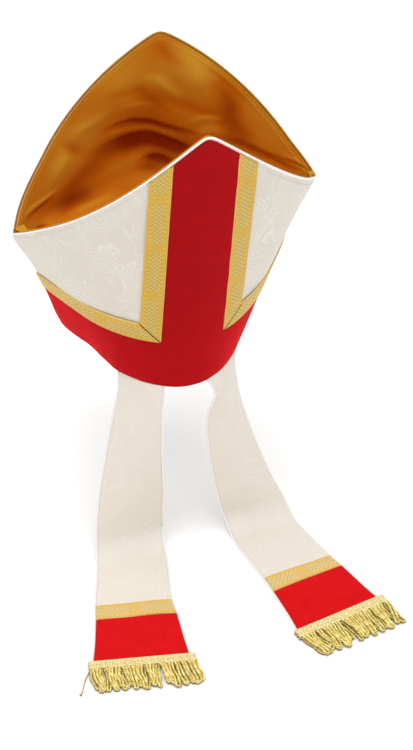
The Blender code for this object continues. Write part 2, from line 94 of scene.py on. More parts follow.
def feed(tree: bpy.types.NodeTree, node: bpy.types.Node, inputs: dict) -> None:
    """Give a node what goes into it.

    Args:
        tree: Node tree of the node.
        node: Node that is fed.
        inputs: Input name or index, to the socket or the value that goes into it.
    """
    for name, value in inputs.items():
        if isinstance(value, bpy.types.NodeSocket):
            tree.links.new(value, node.inputs[name])
        else:
            node.inputs[name].default_value = value


def add_node(tree: bpy.types.NodeTree, kind: str, links: dict | None = None, out: int | str = 0, **settings):
    """Add one node with its settings and its links.

    Args:
        tree: Node tree that gets the node.
        kind: Blender's type name of the node.
        links: Input name or index, to the socket or the value that goes into it.
        out: Output to hand back.
        **settings: Properties of the node.

    Returns:
        The chosen output socket, or the node itself where it has no output.
    """
    made = tree.nodes.new(kind)
    for name, value in settings.items():
        setattr(made, name, value)
    feed(tree, made, links or {})
    return made.outputs[out] if made.outputs else made


MATH = "ShaderNodeMath"
MIX = "ShaderNodeMix"
NOISE = "ShaderNodeTexNoise"
RAMP = "ShaderNodeMapRange"
VECTOR = "ShaderNodeVectorMath"
WAVE = "ShaderNodeTexWave"
BUMP = "ShaderNodeBump"
FACTOR, COLOUR_A, COLOUR_B, COLOUR_OUT = 0, 6, 7, 2
# Bands of scale 1 repeat every 0.31 m.
BAND_PITCH = 0.31


@dataclass(frozen=True)
class Finish:
    """What every finish shares: its name and its Principled shader."""

    name: str = "finish"

    def start(self) -> tuple[bpy.types.NodeTree, bpy.types.Node, bpy.types.NodeSocket]:
        """Make the material.

        Returns:
            The node tree, the Principled shader and the cloth map's coordinates in metres.
        """
        made = bpy.data.materials.new(self.name)
        made.use_nodes = True
        tree = made.node_tree
        shader = tree.nodes["Principled BSDF"]
        cloth = add_node(tree, "ShaderNodeUVMap", uv_map=CLOTH_MAP)
        return tree, shader, cloth

    def material(self) -> bpy.types.Material:
        """Return the material, made once."""
        found = bpy.data.materials.get(self.name)
        if found is None:
            self.make()
            found = bpy.data.materials[self.name]
        return found

    def make(self) -> None:
        """Build the nodes; each finish has its own."""
        raise NotImplementedError

    @staticmethod
    def uneven(tree: bpy.types.NodeTree, cloth: bpy.types.NodeSocket, tone: object, scale: float, detail: float,
               low: float, high: float) -> bpy.types.NodeSocket:
        """Let a tone come out a little lighter and darker from place to place.

        Args:
            tree: Node tree.
            cloth: Coordinates in metres.
            tone: Colour, as a socket or three values.
            scale: Scale of the unevenness, in patches to the metre.
            detail: How ragged its patches are.
            low: Gain of the darkest patches.
            high: Gain of the lightest ones.

        Returns:
            The uneven tone.
        """
        patches = add_node(tree, NOISE, {"Vector": cloth, "Scale": scale, "Detail": detail})
        gain = add_node(tree, RAMP, {"Value": patches, 1: 0.3, 2: 0.7, 3: low, 4: high})
        return add_node(tree, VECTOR, {0: tone, 1: gain}, operation="MULTIPLY")


@dataclass(frozen=True)
class WovenDamask(Finish):
    """Rayon damask, jacquard woven: outlined flowers and tendrils barely lighter than their duller ground."""

    name: str = "rayon_damask_jacquard_woven"
    ground: str = "#D1CABF"
    figure: str = "#DAD4CA"
    flower_pitch: float = 0.047
    flower_radius: float = 0.0175
    outlines: float = 3.0
    tendril_size: float = 0.036
    thread: float = 0.0006
    roughness: float = 0.66

    def line(self, tree: bpy.types.NodeTree, value: bpy.types.NodeSocket, times: float, width: float
             ) -> bpy.types.NodeSocket:
        """Thin lines where a value, taken a number of times, is whole."""
        steps = add_node(tree, MATH, {0: value, 1: times}, operation="MULTIPLY")
        near = add_node(tree, MATH, {0: steps, 1: 0.5}, operation="PINGPONG")
        return add_node(tree, RAMP, {"Value": near, 1: width, 2: 2.2 * width, 3: 1.0, 4: 0.0},
                        interpolation_type="SMOOTHSTEP")

    def flowers(self, tree: bpy.types.NodeTree, cloth: bpy.types.NodeSocket) -> bpy.types.NodeSocket:
        """Distance from the nearest flower's heart as a share of its petals' length in that direction."""
        sway = add_node(tree, NOISE, {"Vector": cloth, "Scale": 52.0, "Detail": 1.0}, out="Color")
        bent = add_node(tree, VECTOR, {0: sway, 1: (0.013, 0.013, 0.0), 2: cloth},
                        operation="MULTIPLY_ADD")
        heart = add_node(tree, "ShaderNodeTexVoronoi", {"Vector": bent, "Scale": 1.0 / self.flower_pitch,
                                                        "Randomness": 0.55}, out="Position", voronoi_dimensions="2D")
        away = add_node(tree, VECTOR, {0: bent, 1: heart}, operation="SUBTRACT")
        reach = add_node(tree, VECTOR, {0: away}, out="Value", operation="LENGTH")
        split = add_node(tree, "ShaderNodeSeparateXYZ", {0: away}).node.outputs
        turn = add_node(tree, MATH, {0: split[1], 1: split[0]}, operation="ARCTAN2")
        turn = add_node(tree, MATH, {0: turn, 1: 2.5}, operation="MULTIPLY")
        petal = add_node(tree, MATH, {0: turn}, operation="COSINE")
        petal = add_node(tree, MATH, {0: petal}, operation="ABSOLUTE")
        petal = add_node(tree, MATH, {0: petal, 1: 0.42 * self.flower_radius, 2: 0.58 * self.flower_radius},
                         operation="MULTIPLY_ADD")
        return add_node(tree, MATH, {0: reach, 1: petal}, operation="DIVIDE")

    def make(self) -> None:
        """Draw nested petal outlines, tendrils between the flowers and a faint filled leaf."""
        tree, shader, cloth = self.start()
        share = self.flowers(tree, cloth)
        petals = self.line(tree, share, self.outlines, 0.11)
        within = add_node(tree, RAMP, {"Value": share, 1: 1.08, 2: 1.12, 3: 1.0, 4: 0.0})
        petals = add_node(tree, MATH, {0: petals, 1: within}, operation="MULTIPLY")
        outside = add_node(tree, RAMP, {"Value": share, 1: 1.15, 2: 1.30, 3: 0.0, 4: 1.0})
        curls = add_node(tree, NOISE, {"Vector": cloth, "Scale": 1.0 / self.tendril_size, "Detail": 1.2,
                                       "Distortion": 0.9})
        tendrils = self.line(tree, curls, 7.0, 0.055)
        leaf = add_node(tree, RAMP, {"Value": curls, 1: 0.53, 2: 0.55, 3: 0.0, 4: 0.30},
                        interpolation_type="SMOOTHSTEP")
        tendrils = add_node(tree, MATH, {0: tendrils, 1: leaf}, operation="MAXIMUM")
        tendrils = add_node(tree, MATH, {0: tendrils, 1: outside}, operation="MULTIPLY")
        woven = add_node(tree, MATH, {0: petals, 1: tendrils}, operation="MAXIMUM")
        # The figure comes and goes with the way the satin floats face.
        seen = add_node(tree, NOISE, {"Vector": cloth, "Scale": 21.0, "Detail": 1.0})
        seen = add_node(tree, RAMP, {"Value": seen, 1: 0.36, 2: 0.62, 3: 0.25, 4: 1.0})
        woven = add_node(tree, MATH, {0: woven, 1: seen}, operation="MULTIPLY")
        tone = add_node(tree, MIX, {FACTOR: woven, COLOUR_A: linear(self.ground), COLOUR_B: linear(self.figure)},
                        out=COLOUR_OUT, data_type="RGBA")
        tone = self.uneven(tree, cloth, tone, 28.0, 3.0, 0.985, 1.015)
        matt = add_node(tree, RAMP, {"Value": woven, 3: self.roughness, 4: self.roughness - 0.14})
        # Thread relief: real threads are 0.2 mm apart, drawn at 0.6 mm so that they show.
        weave = add_node(tree, WAVE, {"Vector": cloth, "Scale": BAND_PITCH / self.thread, "Distortion": 0.4},
                         wave_type="BANDS", bands_direction="DIAGONAL")
        height = add_node(tree, MATH, {0: weave, 1: 0.25, 2: woven}, operation="MULTIPLY_ADD")
        bump = add_node(tree, BUMP, {"Height": height, "Strength": 0.2, "Distance": 0.0002})
        feed(tree, shader, {"Base Color": tone, "Roughness": matt, "Normal": bump, "Specular IOR Level": 0.3,
                            "Sheen Weight": 0.12, "Sheen Roughness": 0.4})


@dataclass(frozen=True)
class WoolCrepe(Finish):
    """Wool crepe, piece dyed: matt and deep, with a nap that lights up where it turns away, and painted light towards
    the rim.
    """

    name: str = "wool_crepe_piece_dyed"
    # These defaults are a darker copy of the lappet ends' crepe: painted shade for the horn's upright faces.
    colour: str = "#9D0609"
    deep: str = "#930407"
    nap: str = "#FF303A"
    nap_weight: float = 1.0
    # Gains of the painted light near the rim and of the painted shade higher up.
    rim_painted_light_gain: float = 1.07
    top_painted_shade_gain: float = 0.93
    grain: float = 0.0011

    def make(self) -> None:
        """Mottle the colour slightly, paint light towards the rim and shade higher up, and raise the pebbled face."""
        tree, shader, cloth = self.start()
        mottle = add_node(tree, NOISE, {"Vector": cloth, "Scale": 75.0, "Detail": 4.0, "Roughness": 0.7})
        mottle = add_node(tree, RAMP, {"Value": mottle, 1: 0.3, 2: 0.7})
        tone = add_node(tree, MIX, {FACTOR: mottle, COLOUR_A: linear(self.deep), COLOUR_B: linear(self.colour)},
                        out=COLOUR_OUT, data_type="RGBA")
        # Painted light and shade: the colour is lightened towards the rim and darkened higher up.
        above_rim = add_node(tree, "ShaderNodeSeparateXYZ", {0: cloth}, out=1)
        gain = add_node(tree, RAMP, {"Value": above_rim, 1: 0.03, 2: 0.12, 3: self.rim_painted_light_gain, 4: self.top_painted_shade_gain})
        tone = add_node(tree, VECTOR, {0: tone, 1: gain}, operation="MULTIPLY")
        # Crepe grain is about 0.5 mm, drawn at 1.1 mm so that it shows.
        pebbles = add_node(tree, NOISE, {"Vector": cloth, "Scale": 1.0 / self.grain, "Detail": 2.0})
        bump = add_node(tree, BUMP, {"Height": pebbles, "Strength": 0.3, "Distance": 0.0003})
        feed(tree, shader, {"Base Color": tone, "Roughness": 0.9, "Normal": bump, "Specular IOR Level": 0.06,
                            "Sheen Weight": self.nap_weight, "Sheen Roughness": 0.5, "Sheen Tint": linear(self.nap)})


@dataclass(frozen=True)
class LurexGalloon(Finish):
    """Galloon of viscose and metallised yarn, jacquard woven: silvery lattice in a toothed yellow border."""

    name: str = "lurex_galloon_jacquard_woven"
    width: float = 0.0214
    yellow: str = "#D4A934"
    hollow: str = "#BA9943"
    silver: str = "#DCC67C"
    dot: str = "#94825A"
    selvedge: str = "#CDB26C"
    stitch: str = "#A07A30"
    lozenge: float = 0.0048
    hatch: float = 0.0013
    tooth: float = 0.0052
    block: float = 0.0600
    stitch_pitch: float = 0.0024
    thread: float = 0.0009

    def band(self, tree: bpy.types.NodeTree, value: bpy.types.NodeSocket, low: float, high: float,
             falling: bool = False) -> bpy.types.NodeSocket:
        """Soft step of a value.

        Args:
            tree: Node tree.
            value: Value that the step follows.
            low: Where it starts.
            high: Where it ends.
            falling: True for a step down.

        Returns:
            The step, from 0 to 1.
        """
        ends = (1.0, 0.0) if falling else (0.0, 1.0)
        return add_node(tree, RAMP, {"Value": value, 1: low, 2: high, 3: ends[0], 4: ends[1]},
                        interpolation_type="SMOOTHSTEP")

    def zigzag(self, tree: bpy.types.NodeTree, value: bpy.types.NodeSocket, pitch: float) -> bpy.types.NodeSocket:
        """Zigzag from 0 to 1 with a given pitch."""
        wave = add_node(tree, MATH, {0: value, 1: pitch / 2}, operation="PINGPONG")
        return add_node(tree, MATH, {0: wave, 1: pitch / 2}, operation="DIVIDE")

    def make(self) -> None:
        """Draw the selvedges, the toothed border, the lattice and its breaks from the map in metres."""
        tree, shader, cloth = self.start()
        along, across, _ = add_node(tree, "ShaderNodeSeparateXYZ", {0: cloth}).node.outputs
        centred = add_node(tree, MATH, {0: across, 1: self.width / 2}, operation="SUBTRACT")
        reach = add_node(tree, MATH, {0: centred}, operation="ABSOLUTE")
        reach = add_node(tree, MATH, {0: reach, 1: self.width / 2}, operation="DIVIDE")
        teeth = self.zigzag(tree, along, self.tooth)
        border = add_node(tree, MATH, {0: teeth, 1: 0.28, 2: 0.42}, operation="MULTIPLY_ADD")
        border = add_node(tree, MATH, {0: border, 1: reach}, operation="SUBTRACT")
        inside = self.band(tree, border, -0.03, 0.03)
        rising = add_node(tree, MATH, {0: along, 1: centred}, operation="ADD")
        falling = add_node(tree, MATH, {0: along, 1: centred}, operation="SUBTRACT")
        strokes = [self.band(tree, self.zigzag(tree, diagonal, self.lozenge), 0.14, 0.50)
                   for diagonal in (rising, falling)]
        lattice = add_node(tree, MATH, {0: strokes[0], 1: strokes[1]}, operation="MULTIPLY")
        # Floats of silvery yarn fill each lozenge; real ones are 0.4 mm apart, drawn at 1.3 mm so that they show.
        floats = self.band(tree, self.zigzag(tree, falling, self.hatch), 0.2, 0.8)
        floats = add_node(tree, MATH, {0: floats, 1: 0.55, 2: 0.45}, operation="MULTIPLY_ADD")
        lattice = add_node(tree, MATH, {0: lattice, 1: floats}, operation="MULTIPLY")
        part = self.zigzag(tree, along, self.block)
        # Each block ends in a chevron; in the breaks between them small yellow lozenges stand on the ground.
        chevron = add_node(tree, MATH, {0: reach, 1: -0.05, 2: part}, operation="MULTIPLY_ADD")
        filled = self.band(tree, chevron, 0.12, 0.20)
        pale = add_node(tree, MATH, {0: filled, 1: inside}, operation="MULTIPLY")
        shine = add_node(tree, MATH, {0: pale, 1: lattice}, operation="MULTIPLY")
        sides = [self.band(tree, self.zigzag(tree, diagonal, self.lozenge * 0.7), 0.45, 0.55)
                 for diagonal in (rising, falling)]
        small = add_node(tree, MATH, {0: sides[0], 1: sides[1]}, operation="SUBTRACT")
        small = add_node(tree, MATH, {0: small}, operation="ABSOLUTE")
        gap = add_node(tree, MATH, {0: 1.0, 1: filled}, operation="SUBTRACT")
        small = add_node(tree, MATH, {0: small, 1: gap}, operation="MULTIPLY")
        plain = add_node(tree, MATH, {0: 1.0, 1: inside}, operation="SUBTRACT")
        gilt = add_node(tree, MATH, {0: small, 1: plain}, operation="MAXIMUM")
        # A dull dot sits in each notch of the border.
        notch = add_node(tree, MATH, {0: border}, operation="ABSOLUTE")
        notch = self.band(tree, notch, 0.035, 0.085, True)
        notch = add_node(tree, MATH, {0: notch, 1: self.band(tree, teeth, 0.62, 0.80)}, operation="MULTIPLY")
        notch = add_node(tree, MATH, {0: notch, 1: 0.65}, operation="MULTIPLY")
        rim = self.band(tree, reach, 0.88, 0.92)
        # The sewing line sinks into the galloon 1.6 mm from each edge.
        line = add_node(tree, MATH, {0: reach, 1: 0.845}, operation="SUBTRACT")
        line = add_node(tree, MATH, {0: line}, operation="ABSOLUTE")
        line = self.band(tree, line, 0.022, 0.045, True)
        gaps = self.band(tree, self.zigzag(tree, along, self.stitch_pitch), 0.30, 0.45, True)
        line = add_node(tree, MATH, {0: line, 1: gaps}, operation="MULTIPLY")
        tone = linear(self.hollow)
        for share, colour in ((shine, self.silver), (gilt, self.yellow), (notch, self.dot), (rim, self.selvedge),
                              (line, self.stitch)):
            tone = add_node(tree, MIX, {FACTOR: share, COLOUR_A: tone, COLOUR_B: linear(colour)},
                            out=COLOUR_OUT, data_type="RGBA")
        metal = add_node(tree, RAMP, {"Value": shine, 3: 0.15, 4: 0.40})
        # Weft ribs: real ones are 0.4 mm apart, drawn at 0.9 mm so that they show.
        ribs = add_node(tree, WAVE, {"Vector": cloth, "Scale": BAND_PITCH / self.thread, "Distortion": 0.6},
                        wave_type="BANDS", bands_direction="X")
        raised = add_node(tree, MATH, {0: shine, 1: line}, operation="SUBTRACT")
        height = add_node(tree, MATH, {0: ribs, 1: 0.2, 2: raised}, operation="MULTIPLY_ADD")
        bump = add_node(tree, BUMP, {"Height": height, "Strength": 0.7, "Distance": 0.0005})
        feed(tree, shader, {"Base Color": tone, "Metallic": metal, "Roughness": 0.42, "Normal": bump,
                            "Specular IOR Level": 0.3})


@dataclass(frozen=True)
class PolyesterSatin(Finish):
    """Polyester lining satin, warp faced: glossy old gold, with a painted highlight and burnt-orange painted shade
    down in its folds.
    """

    name: str = "polyester_satin_warp_faced"
    # Painted highlight, the dye's body tone and painted shade, picked by the fold attribute.
    lit: str = "#D09A2E"
    body: str = "#BC660E"
    painted_fold_shade: str = "#802400"
    gloss: str = "#FFC860"
    thread: float = 0.0007

    def make(self) -> None:
        """Blend a painted highlight, the dye's body tone and a painted shade by the fold attribute, and raise a faint
        warp.
        """
        tree, shader, cloth = self.start()
        # The fold attribute holds painted shade and highlight, not a dye.
        fold = add_node(tree, "ShaderNodeAttribute", out="Fac", attribute_name="fold")
        tone = linear(self.lit)
        for start, colour in ((0.0, self.body), (0.5, self.painted_fold_shade)):
            share = add_node(tree, RAMP, {"Value": fold, 1: start, 2: start + 0.5})
            tone = add_node(tree, MIX, {FACTOR: share, COLOUR_A: tone, COLOUR_B: linear(colour)},
                            out=COLOUR_OUT, data_type="RGBA")
        tone = self.uneven(tree, cloth, tone, 420.0, 2.0, 0.95, 1.05)
        # Warp threads are 0.1 mm, drawn at 0.7 mm so that they show.
        warp = add_node(tree, WAVE, {"Vector": cloth, "Scale": BAND_PITCH / self.thread, "Distortion": 0.5},
                        wave_type="BANDS", bands_direction="X")
        bump = add_node(tree, BUMP, {"Height": warp, "Strength": 0.06, "Distance": 0.0002})
        feed(tree, shader, {"Base Color": tone, "Roughness": 0.45, "Normal": bump, "Specular IOR Level": 0.16,
                            "Specular Tint": linear(self.gloss)})


@dataclass(frozen=True)
class CottonCording(Finish):
    """Cotton piping covered on the bias: bright white, with a fine slanted twill and painted shade in its valleys."""

    name: str = "cotton_piping_bias_covered"
    colour: str = "#F0EDEC"
    painted_twill_shade: str = "#D9D5D4"
    twill: float = 0.0014

    def make(self) -> None:
        """Draw the slanted twill lines in relief, with painted shade in their valleys."""
        tree, shader, cloth = self.start()
        # Twill lines are 0.7 mm apart, drawn at 1.4 mm so that they show.
        lines = add_node(tree, WAVE, {"Vector": cloth, "Scale": BAND_PITCH / self.twill},
                         wave_type="BANDS", bands_direction="DIAGONAL")
        # Painted shade: the twill's valleys are greyer than its ridges.
        tone = add_node(tree, MIX, {FACTOR: lines, COLOUR_A: linear(self.painted_twill_shade), COLOUR_B: linear(self.colour)},
                        out=COLOUR_OUT, data_type="RGBA")
        bump = add_node(tree, BUMP, {"Height": lines, "Strength": 0.3, "Distance": 0.0003})
        feed(tree, shader, {"Base Color": tone, "Roughness": 0.6, "Normal": bump, "Sheen Weight": 0.2})


@dataclass(frozen=True)
class BullionCord(Finish):
    """Rayon bullion cord, twisted: pale gold plies with a silky gloss, and painted shade where they face down or lie
    low.
    """

    name: str = "rayon_bullion_twisted"
    lit: str = "#F8EEA0"
    body: str = "#D6BA52"
    # Painted shade on points that face down or lie low.
    hollow: str = "#86661A"
    fleck: float = 0.0050
    strand: float = 0.0010

    def make(self) -> None:
        """Vary the tone from ply to ply, paint shade where the plies face down or lie low, and raise the twisted
        yarns.
        """
        tree, shader, cloth = self.start()
        vary = add_node(tree, NOISE, {"Vector": cloth, "Scale": 1.0 / self.fleck, "Detail": 2.0})
        vary = add_node(tree, RAMP, {"Value": vary, 1: 0.38, 2: 0.62})
        tone = add_node(tree, MIX, {FACTOR: vary, COLOUR_A: linear(self.body), COLOUR_B: linear(self.lit)},
                        out=COLOUR_OUT, data_type="RGBA")
        # The crest attribute is painted light: points that face up and lie high keep the lit tone, the others take the
        # painted shade.
        crest = add_node(tree, "ShaderNodeAttribute", out="Fac", attribute_name="crest")
        crest = add_node(tree, RAMP, {"Value": crest, 1: 0.50, 2: 0.84})
        tone = add_node(tree, MIX, {FACTOR: crest, COLOUR_A: linear(self.hollow), COLOUR_B: tone},
                        out=COLOUR_OUT, data_type="RGBA")
        # Yarns in a ply are 0.3 mm, drawn at 1 mm so that they show.
        yarn = add_node(tree, WAVE, {"Vector": cloth, "Scale": BAND_PITCH / self.strand},
                        wave_type="BANDS", bands_direction="DIAGONAL")
        bump = add_node(tree, BUMP, {"Height": yarn, "Strength": 0.4, "Distance": 0.0003})
        feed(tree, shader, {"Base Color": tone, "Metallic": 0.2, "Roughness": 0.34, "Normal": bump})


@dataclass(frozen=True)
class SewingThread(Finish):
    """Spun polyester sewing thread, in one colour, matt."""

    name: str = "sewing_thread_spun"
    colour: str = "#E6DFD2"

    def make(self) -> None:
        """Give the thread its colour with a slight twist in tone."""
        tree, shader, cloth = self.start()
        tone = self.uneven(tree, cloth, linear(self.colour)[:3], 900.0, 2.0, 0.85, 1.1)
        feed(tree, shader, {"Base Color": tone, "Roughness": 0.8, "Specular IOR Level": 0.1})


@dataclass(frozen=True)
class PaintedSweep(Finish):
    """White painted studio sweep: dead matt, with the faintest unevenness of a roller."""

    name: str = "studio_sweep_roller_painted"
    colour: str = "#FBFBFB"

    def make(self) -> None:
        """Give the sweep a matt white."""
        tree, shader, _ = self.start()
        spot = add_node(tree, "ShaderNodeTexCoord", out="Object")
        vary = add_node(tree, NOISE, {"Vector": spot, "Scale": 3.0})
        vary = add_node(tree, RAMP, {"Value": vary, 3: 0.995, 4: 1.0})
        tone = add_node(tree, VECTOR, {0: linear(self.colour)[:3], 1: vary}, operation="MULTIPLY")
        feed(tree, shader, {"Base Color": tone, "Roughness": 1.0, "Specular IOR Level": 0.0})


DAMASK = WovenDamask()
LAPPET_DAMASK = WovenDamask(name="rayon_damask_lappet_woven", ground="#D8D2C6", figure="#DCD7CC")
# Painted shade: the horn's crepe is darker than the lappet ends' crepe, LAPPET_CREPE.
CREPE = WoolCrepe()
LAPPET_CREPE = WoolCrepe(name="wool_crepe_lappet_dyed", colour="#CE1217", deep="#C30E13", nap_weight=0.15,
                         rim_painted_light_gain=1.0, top_painted_shade_gain=1.0)
GALLOON = LurexGalloon()
LAPPET_GALLOON = LurexGalloon(name="lurex_galloon_lappet_woven", width=0.0195, yellow="#E4B857", hollow="#D0B26C",
                              silver="#E4D29C", dot="#C2A66C", stitch="#C49C50")
SATIN = PolyesterSatin()
ROLLED_SATIN = PolyesterSatin(name="polyester_satin_bias_rolled", lit="#A9721C", body="#A9721C", painted_fold_shade="#A9721C")
CORDING = CottonCording()
BULLION = BullionCord()
GOLD_THREAD = SewingThread(name="sewing_thread_gold", colour="#C8932A")
# The gimp's hollow colour is painted shade as well.
GIMP = BullionCord(name="rayon_gimp_plaited", lit="#F8F0BC", body="#D2BC74", hollow="#A07C3C", fleck=0.0017)
DARK_THREAD = SewingThread(name="sewing_thread_dark", colour="#4E3816")
IVORY_THREAD = SewingThread(name="sewing_thread_ivory", colour="#CFC8BC")
RED_THREAD = SewingThread(name="sewing_thread_red", colour="#9C2A2C")
BROWN_THREAD = SewingThread(name="sewing_thread_brown", colour="#7A4408")
SWEEP = PaintedSweep()


def mesh_object(name: str, points: np.ndarray, faces: list | np.ndarray, cloth: np.ndarray,
                finish: Finish, marks: dict[str, np.ndarray] | None = None) -> bpy.types.Object:
    """Make an object from arrays.

    Args:
        name: Name of the piece.
        points: Vertices, one row each.
        faces: Corner indices of each face.
        cloth: Map coordinates in metres, one row for each vertex.
        finish: Finish of the piece.
        marks: Named values for each vertex, which the finish reads.

    Returns:
        The new object, shaded smooth, riding on the model's one body.
    """
    mesh = bpy.data.meshes.new(name)
    mesh.from_pydata(points.tolist(), [], faces if isinstance(faces, list) else faces.tolist())
    corners = np.zeros(len(mesh.loops), dtype=np.int32)
    mesh.loops.foreach_get("vertex_index", corners)
    layer = mesh.uv_layers.new(name=CLOTH_MAP)
    layer.data.foreach_set("uv", cloth[corners].astype(np.float32).ravel())
    for mark, values in (marks or {}).items():
        mesh.attributes.new(mark, "FLOAT", "POINT").data.foreach_set("value", values.astype(np.float32))
    mesh.materials.append(finish.material())
    mesh.shade_smooth()
    mesh.set_sharp_from_angle(angle=SHARP_ANGLE)
    item = bpy.data.objects.new(name, mesh)
    bpy.context.scene.collection.objects.link(item)
    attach(item, ROOT)
    return item


def unit(vectors: np.ndarray) -> np.ndarray:
    """Vectors brought to a length of 1."""
    return vectors / (np.linalg.norm(vectors, axis=-1, keepdims=True) + TINY)


def clipped(values: np.ndarray) -> np.ndarray:
    """Values held between 0 and 1."""
    return np.clip(values, 0.0, 1.0)


def smooth(values: np.ndarray) -> np.ndarray:
    """Values held between 0 and 1, with a soft start and a soft end."""
    share = clipped(values)
    return share * share * (3.0 - 2.0 * share)


def rounded(values: np.ndarray) -> np.ndarray:
    """Quarter round that rises from 0 to 1 while the values do."""
    return np.sqrt(clipped(1.0 - (1.0 - clipped(values)) ** 2))


def ring_faces(rings: int, sides: int) -> tuple[np.ndarray, np.ndarray]:
    """Corner indices of the squares between closed rings of vertices.

    Args:
        rings: Number of rings.
        sides: Vertices in each.

    Returns:
        Index of each vertex, as rings by sides, and one row of four indices for each square.
    """
    index = np.arange(rings * sides).reshape(rings, sides)
    following = np.roll(index, -1, axis=1)
    squares = np.stack([index[:-1], following[:-1], following[1:], index[1:]], axis=-1)
    return index, squares.reshape(-1, 4)


def joined(parts: list[tuple[np.ndarray, np.ndarray, np.ndarray]]) -> tuple[np.ndarray, np.ndarray, np.ndarray]:
    """Join several parts' arrays.

    Args:
        parts: For each part its vertices, faces and map coordinates.

    Returns:
        Vertices, faces and map coordinates of them all.
    """
    points, faces, cloth = zip(*parts)
    starts = np.cumsum([0, *map(len, points[:-1])])
    shifted = [face + start for face, start in zip(faces, starts)]
    return np.concatenate(points), np.concatenate(shifted), np.concatenate(cloth)


def grid_faces(rows: int, columns: int, keep: np.ndarray | None = None) -> np.ndarray:
    """Corner indices of a grid's squares.

    Args:
        rows: Rows of vertices.
        columns: Columns of vertices.
        keep: Which squares stay, as rows - 1 by columns - 1.

    Returns:
        One row of four indices for each square.
    """
    index = np.arange(rows * columns).reshape(rows, columns)
    squares = np.stack([index[:-1, :-1], index[:-1, 1:], index[1:, 1:], index[1:, :-1]], axis=-1)
    return squares[keep] if keep is not None else squares.reshape(-1, 4)


def closed_sheet(outer: np.ndarray, inner: np.ndarray, cloth: np.ndarray, keep: np.ndarray | None = None
                 ) -> tuple[np.ndarray, np.ndarray, np.ndarray]:
    """Arrays of a closed sheet between two grids of points.

    Args:
        outer: Visible face, as rows by columns by 3.
        inner: Hidden face, the same shape.
        cloth: Map coordinates in metres, as rows by columns by 2.
        keep: Which squares of the grid stay.

    Returns:
        Vertices, faces and map coordinates.
    """
    rows, columns = outer.shape[:2]
    count = rows * columns
    front = grid_faces(rows, columns, keep)
    edges = np.concatenate([front[:, [0, 1]], front[:, [1, 2]], front[:, [2, 3]], front[:, [3, 0]]])
    codes = np.sort(edges, axis=1)
    _, where, times = np.unique(codes[:, 0] * count + codes[:, 1], return_inverse=True, return_counts=True)
    rim = edges[times[where] == 1]
    sides = np.stack([rim[:, 1], rim[:, 0], rim[:, 0] + count, rim[:, 1] + count], axis=1)
    faces = np.concatenate([front, front[:, ::-1] + count, sides])
    points = np.concatenate([outer.reshape(-1, 3), inner.reshape(-1, 3)])
    first = front[len(front) // 2]
    normal = np.cross(points[first[1]] - points[first[0]], points[first[2]] - points[first[0]])
    if normal @ (points[first[0]] - points[first[0] + count]) < 0:
        faces = faces[:, ::-1]
    return points, faces, np.concatenate([cloth.reshape(-1, 2)] * 2)


def slab(name: str, outer: np.ndarray, inner: np.ndarray, cloth: np.ndarray, finish: Finish,
         keep: np.ndarray | None = None, marks: dict[str, np.ndarray] | None = None) -> bpy.types.Object:
    """Closed sheet of cloth between two grids of points.

    Args:
        name: Name of the piece.
        outer: Visible face, as rows by columns by 3.
        inner: Hidden face, the same shape.
        cloth: Map coordinates in metres, as rows by columns by 2.
        finish: Finish of the piece.
        keep: Which squares of the grid stay.
        marks: Named values, as rows by columns.

    Returns:
        The new object.
    """
    points, faces, flat = closed_sheet(outer, inner, cloth, keep)
    used = np.unique(faces)
    renumber = np.zeros(len(points), dtype=np.int64)
    renumber[used] = np.arange(len(used))
    values = {mark: np.concatenate([value.ravel()] * 2)[used] for mark, value in (marks or {}).items()}
    return mesh_object(name, points[used], renumber[faces], flat[used], finish, values)


def along_line(line: np.ndarray) -> np.ndarray:
    """Distance of each point of a line from its start."""
    return np.concatenate([[0.0], np.cumsum(np.linalg.norm(np.diff(line, axis=0), axis=1))])


def tube_arrays(line: np.ndarray, radius: float, sides: int) -> tuple[np.ndarray, np.ndarray, np.ndarray]:
    """Arrays of a round tube along a line, with closed ends.

    Args:
        line: Points of the centreline.
        radius: Radius of the tube.
        sides: Sides of the section, an even number.

    Returns:
        Vertices, faces (the caps are fans of squares) and map coordinates.
    """
    ahead = unit(np.gradient(line, axis=0))
    across = np.cross(ahead, UP)
    upright = np.linalg.norm(across, axis=1, keepdims=True) < 1e-3
    across = np.where(upright, np.array([1.0, 0.0, 0.0]), unit(across))
    above = np.cross(across, ahead)
    turns = np.linspace(0.0, 2 * math.pi, sides, endpoint=False)
    ring = np.cos(turns)[None, :, None] * across[:, None] + np.sin(turns)[None, :, None] * above[:, None]
    points = (line[:, None] + ring * radius).reshape(-1, 3)
    index, faces = ring_faces(len(line), sides)
    run = along_line(line)
    cloth = np.stack(np.broadcast_arrays(run[:, None], turns[None, :] * radius), axis=-1).reshape(-1, 2)
    ends = np.stack([line[0] - ahead[0] * radius * 0.5, line[-1] + ahead[-1] * radius * 0.5])
    low, high = len(points), len(points) + 1
    caps = []
    for side in range(0, sides, 2):
        caps.append([low, index[0, (side + 2) % sides], index[0, side + 1], index[0, side]])
        caps.append([high, index[-1, side], index[-1, side + 1], index[-1, (side + 2) % sides]])
    return (np.concatenate([points, ends]), np.concatenate([faces, np.array(caps)])[:, ::-1],
            np.concatenate([cloth, [[0.0, 0.0], [run[-1], 0.0]]]))


def tubes_object(name: str, lines: list[tuple[np.ndarray, float, int]], finish: Finish) -> bpy.types.Object:
    """One object from several tubes.

    Args:
        name: Name of the piece.
        lines: For each tube its centreline, its radius and its number of sides, which is even.
        finish: Finish of the piece.

    Returns:
        The new object.
    """
    return mesh_object(name, *joined([tube_arrays(*line) for line in lines]), finish)


def at_distance(line: np.ndarray, distances: np.ndarray) -> np.ndarray:
    """Points of a line at given distances from its start."""
    run = along_line(line)
    return np.stack([np.interp(distances, run, line[:, axis]) for axis in range(3)], axis=-1)


